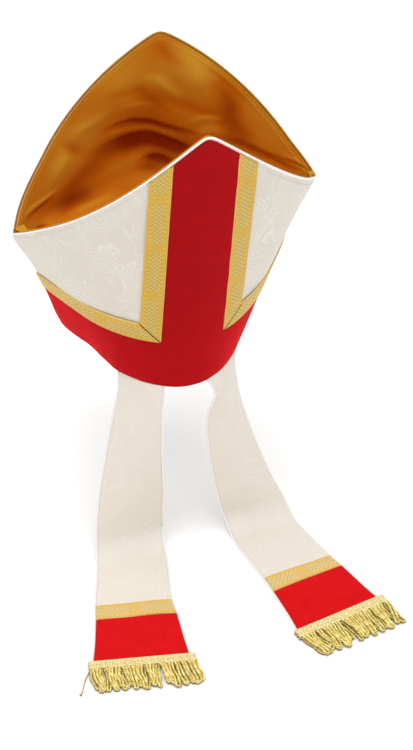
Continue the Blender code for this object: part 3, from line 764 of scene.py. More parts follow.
@dataclass(frozen=True)
class StitchRow:
    """Row of running stitches that dive into the cloth between one and the next."""

    pitch: float = 0.0040
    length: float = 0.0026
    radius: float = 0.00024

    def lines(self, path: np.ndarray) -> list[tuple[np.ndarray, float, int]]:
        """Lay the stitches along a path.

        Args:
            path: Points on the cloth's face.

        Returns:
            A centreline, radius and number of sides for each stitch.
        """
        total = float(along_line(path)[-1])
        starts = np.arange(self.pitch / 2, total - self.length, self.pitch)
        return [(at_distance(path, start + np.linspace(0.0, self.length, 4)), self.radius, 6)
                for start in starts]


def curve_through(table: np.ndarray, share: np.ndarray) -> np.ndarray:
    """Read a table of rows at given shares, on a smooth curve through its rows.

    Args:
        table: Rows whose first value is a share, rising from row to row.
        share: Shares to read at.

    Returns:
        The rows' other values at each share.
    """
    share = np.clip(np.asarray(share, float), table[0, 0], table[-1, 0])
    right = np.searchsorted(table[1:-1, 0], share, side="right") + 1
    left = right - 1
    span = table[right, 0] - table[left, 0]
    before = table[np.maximum(left - 1, 0)]
    after = table[np.minimum(right + 1, len(table) - 1)]
    slope_left = (table[right] - before) / np.maximum(table[right, 0] - before[:, 0], span)[:, None] * span[:, None]
    slope_right = (after - table[left]) / np.maximum(after[:, 0] - table[left, 0], span)[:, None] * span[:, None]
    t = ((share - table[left, 0]) / span)[:, None]
    value = (table[left] * (2 * t**3 - 3 * t**2 + 1) + slope_left * (t**3 - 2 * t**2 + t)
             + table[right] * (3 * t**2 - 2 * t**3) + slope_right * (t**3 - t**2))
    return value[:, 1:]


# Height above the rim, and how far the worn cloth stands out from its pattern there at the left and right seams.
SEAM_SHIFTS: np.ndarray = np.array([
    (0.000, 0.0026, 0.0005), (0.022, 0.0006, 0.0005), (0.050, -0.0028, 0.0010), (0.080, -0.0032, 0.0010),
    (0.105, -0.0006, 0.0006), (0.125, 0.0036, 0.0014), (0.1393, 0.0052, 0.0036), (0.300, 0.0052, 0.0036)])

# Bearing from the left seam towards the back, in degrees, and how far the rim draws in there.
RIM_FLATS: np.ndarray = np.array([
    (-180.0, 0.0), (0.0, 0.0), (6.0, 0.0006), (14.0, 0.0021), (23.0, 0.0046), (30.0, 0.0040), (36.0, 0.0025),
    (42.0, 0.0006), (48.0, -0.0018), (58.0, -0.0012), (70.0, 0.0), (180.0, 0.0)])


@dataclass(frozen=True)
class MitreForm:
    """Form of the mitre's shell, which every piece on it follows."""

    rim_half_width: float = 0.0916
    rim_half_depth: float = 0.1083
    rim_arc: float = math.radians(67.0)
    side_point_height: float = 0.1393
    peak_height: float = 0.2994
    side_point_half_width: float = 0.1478
    horn_half_depth: float = 0.0908
    horn_arc: float = math.radians(32.7)
    flare_lag: float = 0.32
    edge_bulge: float = 0.04
    peak_rounding: float = 0.025
    wall: float = 0.0025
    lean: float = math.radians(12.0)
    foot_droop: float = 0.0026
    samples: int = 64

    @staticmethod
    def bow(around: np.ndarray, half_width: float, half_depth: float, arc: float) -> tuple[np.ndarray, np.ndarray]:
        """Bowed line in plan between two side seams.

        Args:
            around: Place from seam to seam, from -1 to 1.
            half_width: Half the distance between the seams.
            half_depth: Depth of the bow.
            arc: Half angle of its arc.

        Returns:
            Distances across and deep.
        """
        across = half_width * np.sin(around * arc) / math.sin(arc)
        depth = half_depth * (np.cos(around * arc) - math.cos(arc)) / (1 - math.cos(arc))
        return across, depth

    def plan(self, around: np.ndarray, height: np.ndarray) -> tuple[np.ndarray, np.ndarray]:
        """Half shell in plan at a height.

        Args:
            around: Place from seam to seam, from -1 to 1.
            height: Height above the rim, in the upright mitre.

        Returns:
            Distances across and towards the horn.
        """
        rise = height / self.side_point_height
        below = rise - self.flare_lag * rise * (rise - 1)
        above = 1 + (1 - self.flare_lag) * (rise - 1)
        flare = np.where(rise < 1, below, above)
        rim_x, rim_y = self.bow(around, self.rim_half_width, self.rim_half_depth, self.rim_arc)
        top_x, top_y = self.bow(around, self.side_point_half_width, self.horn_half_depth, self.horn_arc)
        return rim_x + (top_x - rim_x) * flare, rim_y + (top_y - rim_y) * rise

    def upright(self, around: np.ndarray, height: np.ndarray, offset: np.ndarray | float = 0.0) -> np.ndarray:
        """Points of the front half's outer face before the mitre leans, moved out by an offset."""
        step = 0.001
        around, height = np.broadcast_arrays(np.asarray(around, float), np.asarray(height, float))
        x, y = self.plan(around, height)
        ahead_x, ahead_y = self.plan(around + step, height)
        above_x, above_y = self.plan(around, height + step)
        run = np.stack([ahead_x - x, ahead_y - y, np.zeros_like(x)], axis=-1)
        rise = np.stack([above_x - x, above_y - y, np.full_like(x, step)], axis=-1)
        normal = unit(np.cross(rise, run))
        return np.stack([x, y, height], axis=-1) + normal * np.asarray(offset)[..., None]

    def settled(self, points: np.ndarray) -> np.ndarray:
        """Move upright points by the few millimetres in which the worn cloth leaves its pattern.

        Args:
            points: Points of the upright mitre.

        Returns:
            The points with both side points drawn out, and the left seam's foot drawn out and down
            beside a flatter stretch of rim.
        """
        x, y, z = points[..., 0], points[..., 1], points[..., 2]
        height = np.clip(z, 0.0, SEAM_SHIFTS[-1, 0])
        shifts = curve_through(SEAM_SHIFTS, height.ravel()).reshape(*height.shape, 2)
        seam = self.plan(np.ones_like(height), height)[0]
        start, reach = np.where(x < 0.0, 0.67, 0.80), np.where(x < 0.0, 0.26, 0.19)
        near = smooth((np.abs(x) / seam - start) / reach)
        outward = np.where(x < 0.0, -shifts[..., 0], shifts[..., 1]) * near
        bearing = np.degrees(np.arctan2(-y, -x))
        flatten = curve_through(RIM_FLATS, bearing.ravel()).reshape(bearing.shape) * np.exp(-((z / 0.030) ** 2))
        droop = self.foot_droop * np.exp(-((bearing / 13.0) ** 2)) * np.exp(-((z / 0.022) ** 2))
        angle = np.radians(bearing)
        return np.stack([x + outward + flatten * np.cos(angle), y + flatten * np.sin(angle), z - droop], axis=-1)

    def leaned(self, points: np.ndarray) -> np.ndarray:
        """Points of the upright mitre, settled and turned back as it is worn."""
        points = self.settled(points)
        cosine, sine = math.cos(self.lean), math.sin(self.lean)
        x, y, z = points[..., 0], points[..., 1], points[..., 2]
        return np.stack([x, y * cosine - z * sine, y * sine + z * cosine], axis=-1)

    def face(self, horn: Horn, around: np.ndarray, height: np.ndarray, offset: np.ndarray | float = 0.0) -> np.ndarray:
        """Points of a horn's outer face as worn.

        Args:
            horn: Which horn.
            around: Place from seam to seam, from -1 to 1.
            height: Height above the rim, in the upright mitre.
            offset: Distance out from the face.

        Returns:
            Points, with the arguments' shape by 3.
        """
        points = self.upright(around, height, offset)
        return self.leaned(points * np.array([1.0, horn.value, 1.0]))

    def arcs(self, height: np.ndarray) -> np.ndarray:
        """Distance round the shell from its middle, for even steps of around, at each height."""
        shares = np.linspace(0.0, 1.0, self.samples)
        x, y = self.plan(shares, height[..., None])
        steps = np.hypot(np.diff(x, axis=-1), np.diff(y, axis=-1))
        return np.concatenate([np.zeros_like(x[..., :1]), np.cumsum(steps, axis=-1)], axis=-1)

    def around_at(self, arc: np.ndarray, height: np.ndarray) -> np.ndarray:
        """Place round the shell at a distance from its middle, measured along it."""
        arc, height = np.broadcast_arrays(np.asarray(arc, float), np.asarray(height, float))
        lengths = self.arcs(height)
        target = np.abs(arc)[..., None]
        index = np.clip((lengths < target).sum(axis=-1), 1, self.samples - 1)[..., None]
        low, high = (np.take_along_axis(lengths, spot, axis=-1) for spot in (index - 1, index))
        part = clipped((target - low) / (high - low))
        return np.sign(arc) * ((index - 1 + part) / (self.samples - 1))[..., 0]

    def arc_at(self, around: np.ndarray, height: np.ndarray) -> np.ndarray:
        """Distance from the shell's middle to a place round it, measured along it."""
        around, height = np.broadcast_arrays(np.asarray(around, float), np.asarray(height, float))
        lengths = self.arcs(height)
        spot = np.abs(around)[..., None] * (self.samples - 1)
        index = np.clip(np.ceil(spot).astype(int), 1, self.samples - 1)
        low, high = (np.take_along_axis(lengths, place, axis=-1) for place in (index - 1, index))
        return np.sign(around) * (low + (high - low) * (spot - index + 1))[..., 0]

    def edge(self, around: np.ndarray) -> np.ndarray:
        """Height of the top edge at a place round the shell."""
        soft = self.peak_rounding
        reach = (np.hypot(around, soft) - soft) / (math.hypot(1.0, soft) - soft)
        rise = 1.0 - reach
        return self.side_point_height + (self.peak_height - self.side_point_height) * rise * (
            1 + self.edge_bulge * (1 - rise))

    def top_at(self, arc: np.ndarray) -> np.ndarray:
        """Height at which a line of constant distance from the middle meets the top edge."""
        arc = np.asarray(arc, float)
        low, high = np.full(arc.shape, 0.05), np.full(arc.shape, self.peak_height)
        for _ in range(24):
            middle = (low + high) / 2
            under = middle < self.edge(self.around_at(arc, middle))
            low, high = np.where(under, middle, low), np.where(under, high, middle)
        return low


@dataclass(frozen=True)
class TrimSizes:
    """Sizes of the red cloth and of the galloon on the shell."""

    band_height: float = 0.0586
    stem_half: float = 0.0316
    braid: float = 0.0214
    under_braid: float = 0.0030
    crepe_lift: float = 0.0009
    braid_lift: float = 0.0017
    roll: float = 0.0014


def soft_edge(share: np.ndarray, shoulder: float) -> np.ndarray:
    """Height, from 0 to 1, of a strip with rounded shoulders.

    Args:
        share: Place across the strip, from 0 to 1.
        shoulder: Share of the width over which each edge rounds off.

    Returns:
        The height at each place.
    """
    return rounded(np.minimum(share, 1.0 - share) / shoulder)


def eased(count: int) -> np.ndarray:
    """Steps from 0 to 1 that crowd towards both ends."""
    return 0.5 - 0.5 * np.cos(np.linspace(0.0, math.pi, count))


def noise_field(points: np.ndarray, seed: int, size: float, waves: int = 9) -> np.ndarray:
    """Smooth unevenness from -1 to 1 made of a few plane waves.

    Args:
        points: Places in metres, in two or three coordinates.
        seed: Number that fixes the waves.
        size: Usual distance between crests, in metres.
        waves: How many waves.

    Returns:
        One value for each place.
    """
    source = random.Random(seed)
    total = np.zeros(points.shape[:-1])
    for _ in range(waves):
        direction = np.array([source.gauss(0, 1) for _ in range(points.shape[-1])])
        direction *= 2 * math.pi / (size * np.linalg.norm(direction) * source.uniform(0.7, 1.6))
        total += np.sin(points @ direction + source.uniform(0.0, 2 * math.pi))
    return total / math.sqrt(waves)


@dataclass(frozen=True)
class HornShell:
    """One horn: its damask panel, red orphrey, galloon, piping and the lining's rolled edge."""

    horn: Horn
    form: MitreForm = field(default_factory=MitreForm)
    trim: TrimSizes = field(default_factory=TrimSizes)
    seam_share: float = 0.9985
    panel_columns: int = 170
    panel_rows: int = 110
    puff: float = 0.0006
    sink: float = 0.0004
    braid_shoulder: float = 0.07
    braid_end: float = 0.0009
    hem_fold: float = 0.0026
    hem_line: float = 0.0042
    stitch_drop: float = 0.0046
    roll_points: int = 420
    roll_sides: int = 13

    def name(self, piece: str) -> str:
        """Name of a piece of this horn."""
        return f"{label(self.horn)}_{piece}"

    def panel(self) -> bpy.types.Object:
        """Build the stiffened damask panel.

        Returns:
            The panel.
        """
        around = np.linspace(-1.0, 1.0, self.panel_columns)[None, :]
        share = np.linspace(0.0, 1.0, self.panel_rows)[:, None]
        height = share * self.form.edge(around)
        around = np.broadcast_to(around, height.shape)
        arc = self.form.arc_at(around, height)
        cloth = np.stack([arc, height], axis=-1)
        uneven = self.puff * noise_field(cloth, 11 + self.horn.value, 0.060) * np.sin(math.pi * share)
        uneven = uneven * clipped((1.0 - np.abs(around)) / 0.2) - self.sink
        outer = self.form.face(self.horn, around, height, uneven)
        inner = self.form.face(self.horn, around, height, -self.form.wall)
        item = slab(self.name("panel_cloth"), outer, inner, cloth, DAMASK)
        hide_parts(self.name("panel"))
        return item

    def orphrey(self) -> bpy.types.Object:
        """Build the red cloth, an inverted T whose edges run under the galloon.

        Returns:
            The orphrey.
        """
        half = self.trim.stem_half + self.trim.under_braid
        band = self.trim.band_height + self.trim.under_braid
        stem = np.linspace(-half, half, 41)
        limit = self.form.arc_at(np.array([self.seam_share]), np.array([band]))[0]
        sides = np.linspace(half, limit, 70)[1:]
        columns = np.concatenate([-sides[::-1], stem, sides])
        low = np.concatenate([[0.0, 0.0006, 0.0014, self.hem_fold], np.linspace(0.0045, band, 28)])
        high = np.linspace(0.0, 1.0, 100)[1:]
        tops = self.form.top_at(np.clip(columns, -half, half))
        height = np.concatenate([
            np.broadcast_to(low[:, None], (len(low), len(columns))),
            band + high[:, None] * (tops - band)[None, :],
        ])
        outside = np.abs(columns) > half
        reach = np.broadcast_to(columns[None, :], height.shape)
        around = self.form.around_at(reach, height)
        # Beyond the stem the columns spread evenly to the side seam, whose distance changes with height.
        edge_arc = self.form.arc_at(np.full(height.shape, self.seam_share), height)
        spread = clipped((np.abs(reach) - half) / (limit - half))
        stretched = np.sign(reach) * (half + spread * (edge_arc - half))
        around = np.where(outside[None, :], self.form.around_at(stretched, height), around)
        arc = np.where(outside[None, :], stretched, reach)
        cloth = np.stack([arc, height], axis=-1)
        fold = rounded(height / self.hem_fold)
        hem = -0.00025 * np.exp(-(((height - self.hem_line) / 0.0006) ** 2))
        uneven = 0.0002 * noise_field(cloth, 31 + self.horn.value, 0.035)
        outer = self.form.face(self.horn, around, height, self.trim.crepe_lift * fold + hem + uneven * fold)
        inner = self.form.face(self.horn, around, height, np.full(height.shape, -BURIED))
        middle = (columns[1:] + columns[:-1]) / 2
        keep = np.ones((len(height) - 1, len(middle)), dtype=bool)
        keep[len(low) - 1:, np.abs(middle) > half] = False
        item = slab(self.name("orphrey_cloth"), outer, inner, cloth, CREPE, keep)
        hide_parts(self.name("orphrey"))
        self.name("panel_cloth")
        return item

    def braid(self, side: Side) -> bpy.types.Object:
        """Build the galloon of one side: two arms that meet in a mitred corner.

        Args:
            side: Which side of the stem.

        Returns:
            The galloon.
        """
        across = eased(15)
        width = self.trim.braid
        cut = 0.0006
        stem_arc = self.trim.stem_half + across * width
        start = self.trim.band_height + across * width + cut
        rise = eased(130)
        height = start[None, :] + rise[:, None] * (self.form.top_at(stem_arc) - start)[None, :]
        arc = np.broadcast_to(stem_arc[None, :], height.shape)
        run = height - self.trim.band_height
        arms = [self.arm(side, arc, height, run, across)]
        band_height = self.trim.band_height + across * width
        edge = self.form.arc_at(np.full(across.shape, self.seam_share), band_height)
        begin = self.trim.stem_half + across * width + cut
        reach = eased(110)
        arc = begin[None, :] + reach[:, None] * (edge - begin)[None, :]
        height = np.broadcast_to(band_height[None, :], arc.shape)
        arms.append(self.arm(side, arc, height, arc - self.trim.stem_half, across))
        item = mesh_object(self.name(f"braid_{label(side)}_galloon"), *joined(arms), GALLOON)
        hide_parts(self.name(f"braid_{label(side)}"))
        self.name("panel_cloth")
        return item

    def arm(self, side: Side, arc: np.ndarray, height: np.ndarray, run: np.ndarray,
            across: np.ndarray) -> tuple[np.ndarray, np.ndarray, np.ndarray]:
        """Arrays of one arm of a galloon.

        Args:
            side: Which side of the stem.
            arc: Distance from the horn's middle at each point.
            height: Height of each point.
            run: Distance of each point along the arm.
            across: Place of each column across the arm, from 0 to 1.

        Returns:
            Vertices, faces and map coordinates of the closed strip.
        """
        around = self.form.around_at(side.value * arc, height)
        crown = soft_edge(across, self.braid_shoulder)[None, :] * rounded((run - run[:1]) / self.braid_end)
        wave = 0.0002 * np.sin(run / 0.021) + 0.00012 * np.sin(run / 0.0083 + 1.0)
        edge = self.trim.crepe_lift * 0.9
        top = edge + (self.trim.braid_lift - edge) * crown
        outer = self.form.face(self.horn, around, height, top + wave * crown)
        inner = self.form.face(self.horn, around, height, np.full(height.shape, -BURIED))
        place = np.broadcast_to(across[None, :] * self.trim.braid, height.shape)
        return closed_sheet(outer, inner, np.stack([run, place], axis=-1))

    def edge_line(self, drop: float, offset: float, limit: float, count: int) -> np.ndarray:
        """Line along the top edge.

        Args:
            drop: How far below the edge it runs, in height.
            offset: Distance out from the panel's outer face.
            limit: How far round it runs, as a share.
            count: Number of points.

        Returns:
            The points.
        """
        around = np.sin(np.linspace(-math.pi / 2, math.pi / 2, count)) * 0.35 + np.linspace(-1, 1, count) * 0.65
        around = around * limit
        return self.form.face(self.horn, around, self.form.edge(around) - drop, np.full(count, offset))

    def half_round(self, piece: str, towards: int, limit: float, finish: Finish) -> bpy.types.Object:
        """Build a rolled edge: a rounded section that stands on one half of the panel's edge.

        Args:
            piece: Name of the piece.
            towards: 1 for the outer half, -1 for the inner one.
            limit: How far round it runs, as a share.
            finish: Finish of the roll.

        Returns:
            The roll.
        """
        half = self.form.wall / 2
        seat, lower, outer = (self.edge_line(drop, offset, limit, self.roll_points)
                              for drop, offset in ((0.0, -half), (0.004, -half), (0.0, half)))
        outward = unit(outer - seat)
        upward = unit(np.cross(outward, unit(np.gradient(seat, axis=0))))
        upward *= np.sign((upward * (seat - lower)).sum(axis=1, keepdims=True))
        # Sewn tighter towards the left, so the roll is slimmer there.
        radius = self.trim.roll * (1.0 - 0.24 * clipped(-seat[:, :1] / 0.08))
        rise = GAP + radius + (0.0003 if towards < 0 else -0.0002)
        middle = seat + outward * (towards * GAP / 2) + upward * rise
        turns = np.linspace(-math.pi / 2, math.pi / 2, self.roll_sides)
        bulge = np.cos(turns) ** 0.8 + (0.0 if towards > 0 else -0.12)
        ring = towards * bulge[None, :, None] * outward[:, None] + np.sin(turns)[None, :, None] * upward[:, None]
        rows = middle[:, None] + ring * radius[..., None]
        # The cloth of the roll is drawn down onto the panel, so no slit shows below it.
        rows[:, 0] -= upward * 0.0006
        rows[:, 1] -= upward * 0.0003
        index, squares = ring_faces(*rows.shape[:2])
        faces = squares.tolist() + [index[0].tolist(), index[-1, ::-1].tolist()]
        if towards * self.horn.value > 0:
            faces = [face[::-1] for face in faces]
        cloth = np.stack(np.broadcast_arrays(along_line(seat)[:, None], turns * radius), axis=-1).reshape(-1, 2)
        item = mesh_object(self.name(f"{piece}_roll"), rows.reshape(-1, 3), faces, cloth, finish)
        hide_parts(self.name(piece))
        return item

    def stitches(self) -> list[bpy.types.Object]:
        """Build the topstitching below the top edge and the sewn joints of the galloon.

        Returns:
            The pieces of thread.
        """
        row, count = StitchRow(), 900
        crepe_line = self.edge_line(self.stitch_drop, self.trim.crepe_lift + THREAD_LIFT, 0.985, count)
        damask_line = self.edge_line(self.stitch_drop, -GAP, 0.975, count)
        around = np.linspace(-1.0, 1.0, count)
        arc = self.form.arc_at(around, self.form.edge(around))
        beyond = self.trim.stem_half + self.trim.braid + 0.001
        ivory = row.lines(damask_line[arc < -beyond]) + row.lines(damask_line[arc > beyond])
        red = row.lines(crepe_line[np.abs(arc) < self.trim.stem_half])
        threads = [tubes_object(self.name("edge_stitches"), ivory, IVORY_THREAD),
                   tubes_object(self.name("stem_stitches"), red, RED_THREAD)]
        joints = tubes_object(self.name("braid_joints"), [(self.joint(side), 0.0003, 6) for side in Side], DARK_THREAD)
        return threads + [joints]

    def joint(self, side: Side) -> np.ndarray:
        """Line of the sewn joint in which the galloon's two arms meet."""
        step = np.linspace(0.0004, self.trim.braid - 0.0004, 40)
        arc, height = self.trim.stem_half + step, self.trim.band_height + step
        around = self.form.around_at(side.value * arc, height)
        return self.form.face(self.horn, around, height, np.full(step.shape, self.trim.braid_lift - THREAD_LIFT))

    def build(self) -> list[bpy.types.Object]:
        """Build every piece of the horn.

        Returns:
            The pieces.
        """
        pieces = [self.panel(), self.orphrey(), self.braid(Side.LEFT), self.braid(Side.RIGHT)]
        piping = self.half_round("piping", 1, 0.990, CORDING)
        lining_edge = self.half_round("lining_edge", -1, 0.986, ROLLED_SATIN)
        return pieces + [piping, lining_edge] + self.stitches()


@dataclass(frozen=True)
class Fold:
    """One fold drawn on the satin: where it runs, how wide and high it is, and how much painted shade or painted
    highlight it gets.
    """

    path: tuple[tuple[float, float], ...]
    width: float
    rise: float
    tone: float
    sharp: float = 1.0

    def line(self, surface: Callable[[np.ndarray, np.ndarray], np.ndarray], mirror: bool) -> np.ndarray:
        """Run the fold over the satin.

        Args:
            surface: Points of the satin from places round it and between the horns.
            mirror: True for the fold's partner on the back horn.

        Returns:
            Points of the fold's crest.
        """
        table = np.array([(index, *spot) for index, spot in enumerate(self.path)], dtype=float)
        spots = curve_through(table, np.linspace(0.0, len(self.path) - 1.0, 48))
        sign = -1.0 if mirror else 1.0
        return surface(spots[:, 0] * sign, spots[:, 1] * sign)


# Folds of the gusset as (around, row) places, with width and rise in metres; a positive tone is painted shade, a
# negative one painted highlight.
FOLDS: tuple[Fold, ...] = (
    Fold(((-0.22, 0.760), (0.02, 0.735), (0.20, 0.690), (0.42, 0.640)), 0.0240, -0.0004, 0.22),
    Fold(((-0.27, 0.835), (-0.126, 0.814), (0.011, 0.776), (0.178, 0.757), (0.32, 0.75)), 0.0034, -0.0016, 0.42, 0.45),
    Fold(((-0.25, 0.765), (-0.11, 0.745), (0.018, 0.720), (0.165, 0.688), (0.30, 0.655)), 0.0050, -0.0026, 0.50, 0.35),
    Fold(((-0.12, 0.690), (0.05, 0.680), (0.241, 0.622)), 0.0080, -0.0020, 0.34),
    Fold(((-0.02, 0.595), (0.077, 0.582), (0.17, 0.530)), 0.0050, -0.0024, 0.65, 0.6),
    Fold(((-0.06, 0.510), (0.015, 0.488), (0.09, 0.450)), 0.0050, -0.0014, 0.30),
    Fold(((-0.40, 0.760), (-0.208, 0.712), (-0.044, 0.672)), 0.0090, -0.0014, 0.26),
    Fold(((-0.55, 0.930), (-0.499, 0.871), (-0.45, 0.815)), 0.0060, -0.0016, 0.32),
    Fold(((-0.816, 0.700), (-0.64, 0.615), (-0.466, 0.657), (-0.312, 0.688)), 0.0100, -0.0018, 0.30),
    Fold(((-0.700, 0.440), (-0.545, 0.445), (-0.400, 0.439)), 0.0090, -0.0020, 0.42),
    Fold(((-0.905, 0.855), (-0.80, 0.777), (-0.710, 0.735)), 0.0026, -0.0014, 0.36, 0.6),
    Fold(((-0.860, 0.470), (-0.829, 0.342), (-0.790, 0.300)), 0.0030, -0.0018, 0.60),
    Fold(((0.440, 0.915), (0.515, 0.845), (0.630, 0.805)), 0.0115, -0.0020, 0.36),
    Fold(((0.470, 0.757), (0.597, 0.777), (0.731, 0.794), (0.872, 0.863), (0.94, 0.960)), 0.0048, -0.0020, 0.42),
    Fold(((-0.10, 0.915), (-0.015, 0.857), (0.080, 0.820)), 0.0085, -0.0014, 0.28),
    Fold(((-0.02, 0.988), (0.08, 0.963), (0.190, 0.960)), 0.0070, -0.0010, 0.20),
    Fold(((0.340, 0.965), (0.453, 0.943), (0.520, 0.905)), 0.0090, -0.0014, 0.26),
    Fold(((0.290, 0.985), (0.443, 0.982), (0.580, 0.980)), 0.0040, -0.0008, 0.20),
    Fold(((0.040, 0.875), (0.218, 0.851), (0.390, 0.855)), 0.0070, -0.0012, 0.18),
    Fold(((-0.29, 0.948), (-0.152, 0.908), (-0.030, 0.882)), 0.0060, -0.0008, 0.12),
    Fold(((-0.26, 0.805), (-0.08, 0.770), (0.051, 0.745), (0.200, 0.715)), 0.0028, 0.0014, -0.24, 0.8),
    Fold(((-0.04, 0.914), (0.031, 0.906), (0.100, 0.888), (0.185, 0.868)), 0.0050, 0.0012, -0.26),
    Fold(((0.120, 0.985), (0.237, 0.965), (0.310, 0.930)), 0.0150, 0.0018, -0.28),
    Fold(((0.250, 0.800), (0.348, 0.837), (0.440, 0.855)), 0.0032, 0.0010, -0.20, 0.6),
    Fold(((-0.49, 0.938), (-0.368, 0.906), (-0.260, 0.895)), 0.0070, 0.0012, -0.22),
    Fold(((-0.680, 0.860), (-0.594, 0.874), (-0.530, 0.874)), 0.0110, 0.0016, -0.26),
    Fold(((-0.320, 0.560), (-0.146, 0.594), (0.0, 0.620)), 0.0090, 0.0014, -0.18),
    Fold(((-0.580, 0.250), (-0.407, 0.239), (-0.240, 0.270)), 0.0060, 0.0016, -0.28),
    Fold(((0.310, 0.735), (0.381, 0.785), (0.460, 0.805)), 0.0060, 0.0010, -0.20),
    Fold(((0.830, 0.905), (0.908, 0.965), (0.951, 0.990)), 0.0020, 0.0010, -0.30),
    Fold(((0.860, 0.865), (0.931, 0.940), (0.965, 0.985)), 0.0018, 0.0010, -0.34),
    Fold(((0.845, 0.885), (0.920, 0.952), (0.958, 0.985)), 0.0016, -0.0010, 0.34),
    Fold(((-0.900, 0.920), (-0.793, 0.830), (-0.670, 0.760)), 0.0030, 0.0014, -0.28, 0.7),
    Fold(((-0.190, 0.880), (-0.057, 0.850), (0.080, 0.812)), 0.0030, 0.0008, -0.12, 0.7),
    Fold(((-0.965, 0.700), (-0.950, 0.200), (-0.955, -0.400)), 0.0030, 0.0012, -0.45),
)


@dataclass(frozen=True)
class Gusset:
    """Satin gusset between the horns, with its folds."""

    form: MitreForm = field(default_factory=MitreForm)
    floor: float = 0.1240
    wall: float = 0.0012
    wall_power: float = 4.0
    spread_power: float = 0.6
    end: float = 0.972
    columns: int = 225
    rows: int = 185
    lip: float = 0.0018
    stitch_drop: float = 0.0022
    ridge_drop: float = 0.0052
    ridge_rise: float = 0.0004
    slack_reach: float = 0.038
    shade_reach: float = 0.110
    ease: float = 0.0026
    bar_place: float = 0.004
    bar_radius: float = 0.0005
    bar_turns: dict[Side, int] = field(default_factory=lambda: {Side.LEFT: 10, Side.RIGHT: 5})

    def spots(self, around: np.ndarray, row: np.ndarray) -> np.ndarray:
        """Points of the smooth lining as worn.

        Args:
            around: Place from seam to seam, from -1 to 1.
            row: Place from the back horn's edge, -1, to the front horn's, 1.

        Returns:
            The points.
        """
        around, row = np.broadcast_arrays(np.asarray(around, float), np.asarray(row, float))
        reach = np.abs(row)
        height = self.floor + (self.form.edge(around) + self.lip - self.floor) * reach ** self.wall_power
        inside = self.form.upright(around, height, -(self.form.wall + TUCK_CLEARANCE) * np.ones_like(height))
        depth = inside[..., 1] * np.sign(row) * reach ** self.spread_power
        return self.form.leaned(np.stack([inside[..., 0], depth, inside[..., 2]], axis=-1))

    def even_rows(self) -> np.ndarray:
        """Rows that lie evenly spaced over the cloth in the mitre's middle."""
        fine = np.linspace(-1.0, 1.0, 4001)
        run = along_line(self.spots(np.zeros_like(fine), fine))
        return np.interp(np.linspace(0.0, run[-1], self.rows), run, fine)

    def build(self) -> list[bpy.types.Object]:
        """Build the lining with its folds, and the stitched bars at the side points.

        Returns:
            The pieces.
        """
        around = np.linspace(-self.end, self.end, self.columns)[None, :]
        around, row = np.broadcast_arrays(around, self.even_rows()[:, None])
        base = self.spots(around, row)
        across, along = np.gradient(base, axis=1), np.gradient(base, axis=0)
        normal = unit(np.cross(across, along))
        normal *= np.sign(normal[self.rows // 2, self.columns // 2, 2])
        # fold holds the painted shade and highlight of each point.
        lift, fold = self.folds(around, row, base)
        outer = base + normal * (lift + self.wall)[..., None]
        run = np.concatenate([np.zeros((1, self.columns)),
                              np.cumsum(np.linalg.norm(np.diff(base, axis=0), axis=-1), axis=0)])
        cloth = np.stack([around * self.form.side_point_half_width, run], axis=-1)
        item = slab("gusset_satin", outer, base, cloth, SATIN, marks={"fold": fold})
        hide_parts("gusset_lining")
        return [item, *self.bars(), *self.stitches()]

    def folds(self, around: np.ndarray, row: np.ndarray, base: np.ndarray) -> tuple[np.ndarray, np.ndarray]:
        """Lift of the lining's folds, and the painted shade and highlight of each point.

        Args:
            around: Place from seam to seam of each point.
            row: Place between the horns of each point.
            base: Points of the smooth lining.

        Returns:
            The lift in metres and the painted light from 0, painted highlight, to 1, deepest painted shade.
        """
        below = (self.form.edge(around) - self.floor) * (1.0 - np.abs(row) ** self.wall_power)
        slack = clipped(below / self.slack_reach)
        lift = (self.ease + 0.0010 * noise_field(base, 5, 0.080)) * smooth(slack)
        # Painted shade deepens further below the horns' edges, with random unevenness.
        tone = 0.24 + 0.24 * clipped(below / self.shade_reach) + 0.07 * noise_field(base, 21, 0.060)
        for mirror in (False, True):
            half = row < 0.0 if mirror else row > 0.0
            share = 0.7 if mirror else 1.0
            for fold in FOLDS:
                gap, place, above = self.distances(base, fold.line(self.spots, mirror), half)
                width = fold.width * np.where(above, fold.sharp, 2.0 - fold.sharp)
                taper = np.sin(math.pi * clipped(place * 0.92 + 0.04)) ** 0.6
                mark = share * taper * np.exp(-((gap / width) ** 2))
                lift = lift + fold.rise * mark * slack
                tone = tone + fold.tone * mark
        # The seam allowance behind the satin raises a ridge along each horn's edge.
        ridge = np.exp(-(((below - self.ridge_drop) / 0.0014) ** 2))
        lift = lift + self.ridge_rise * ridge
        # The ridge gets a painted highlight, and the edge's last few millimetres get painted shade.
        tone = tone - 0.12 * ridge + 0.04 * clipped(1.0 - below / 0.0036)
        calm = clipped((below - 0.0005) / 0.0030) * clipped((self.end - np.abs(around)) / 0.045)
        return np.maximum(lift, 0.0) * calm, clipped(tone)

    @staticmethod
    def distances(base: np.ndarray, line: np.ndarray, use: np.ndarray) -> tuple[np.ndarray, np.ndarray, np.ndarray]:
        """Distance of each point from a fold's crest.

        Args:
            base: Points of the lining.
            line: Points of the crest.
            use: Which points count; the others are taken as far off.

        Returns:
            The distance, the nearest place along the crest from 0 to 1, and whether the point is above it.
        """
        points = base[use]
        apart = np.linalg.norm(points[:, None] - line[None], axis=-1)
        nearest = apart.argmin(axis=1)
        gap, place, above = np.full(use.shape, 1.0), np.zeros(use.shape), np.zeros(use.shape, dtype=bool)
        gap[use] = apart[np.arange(len(points)), nearest]
        place[use] = nearest / (len(line) - 1.0)
        above[use] = points[:, 2] > line[nearest, 2]
        return gap, place, above

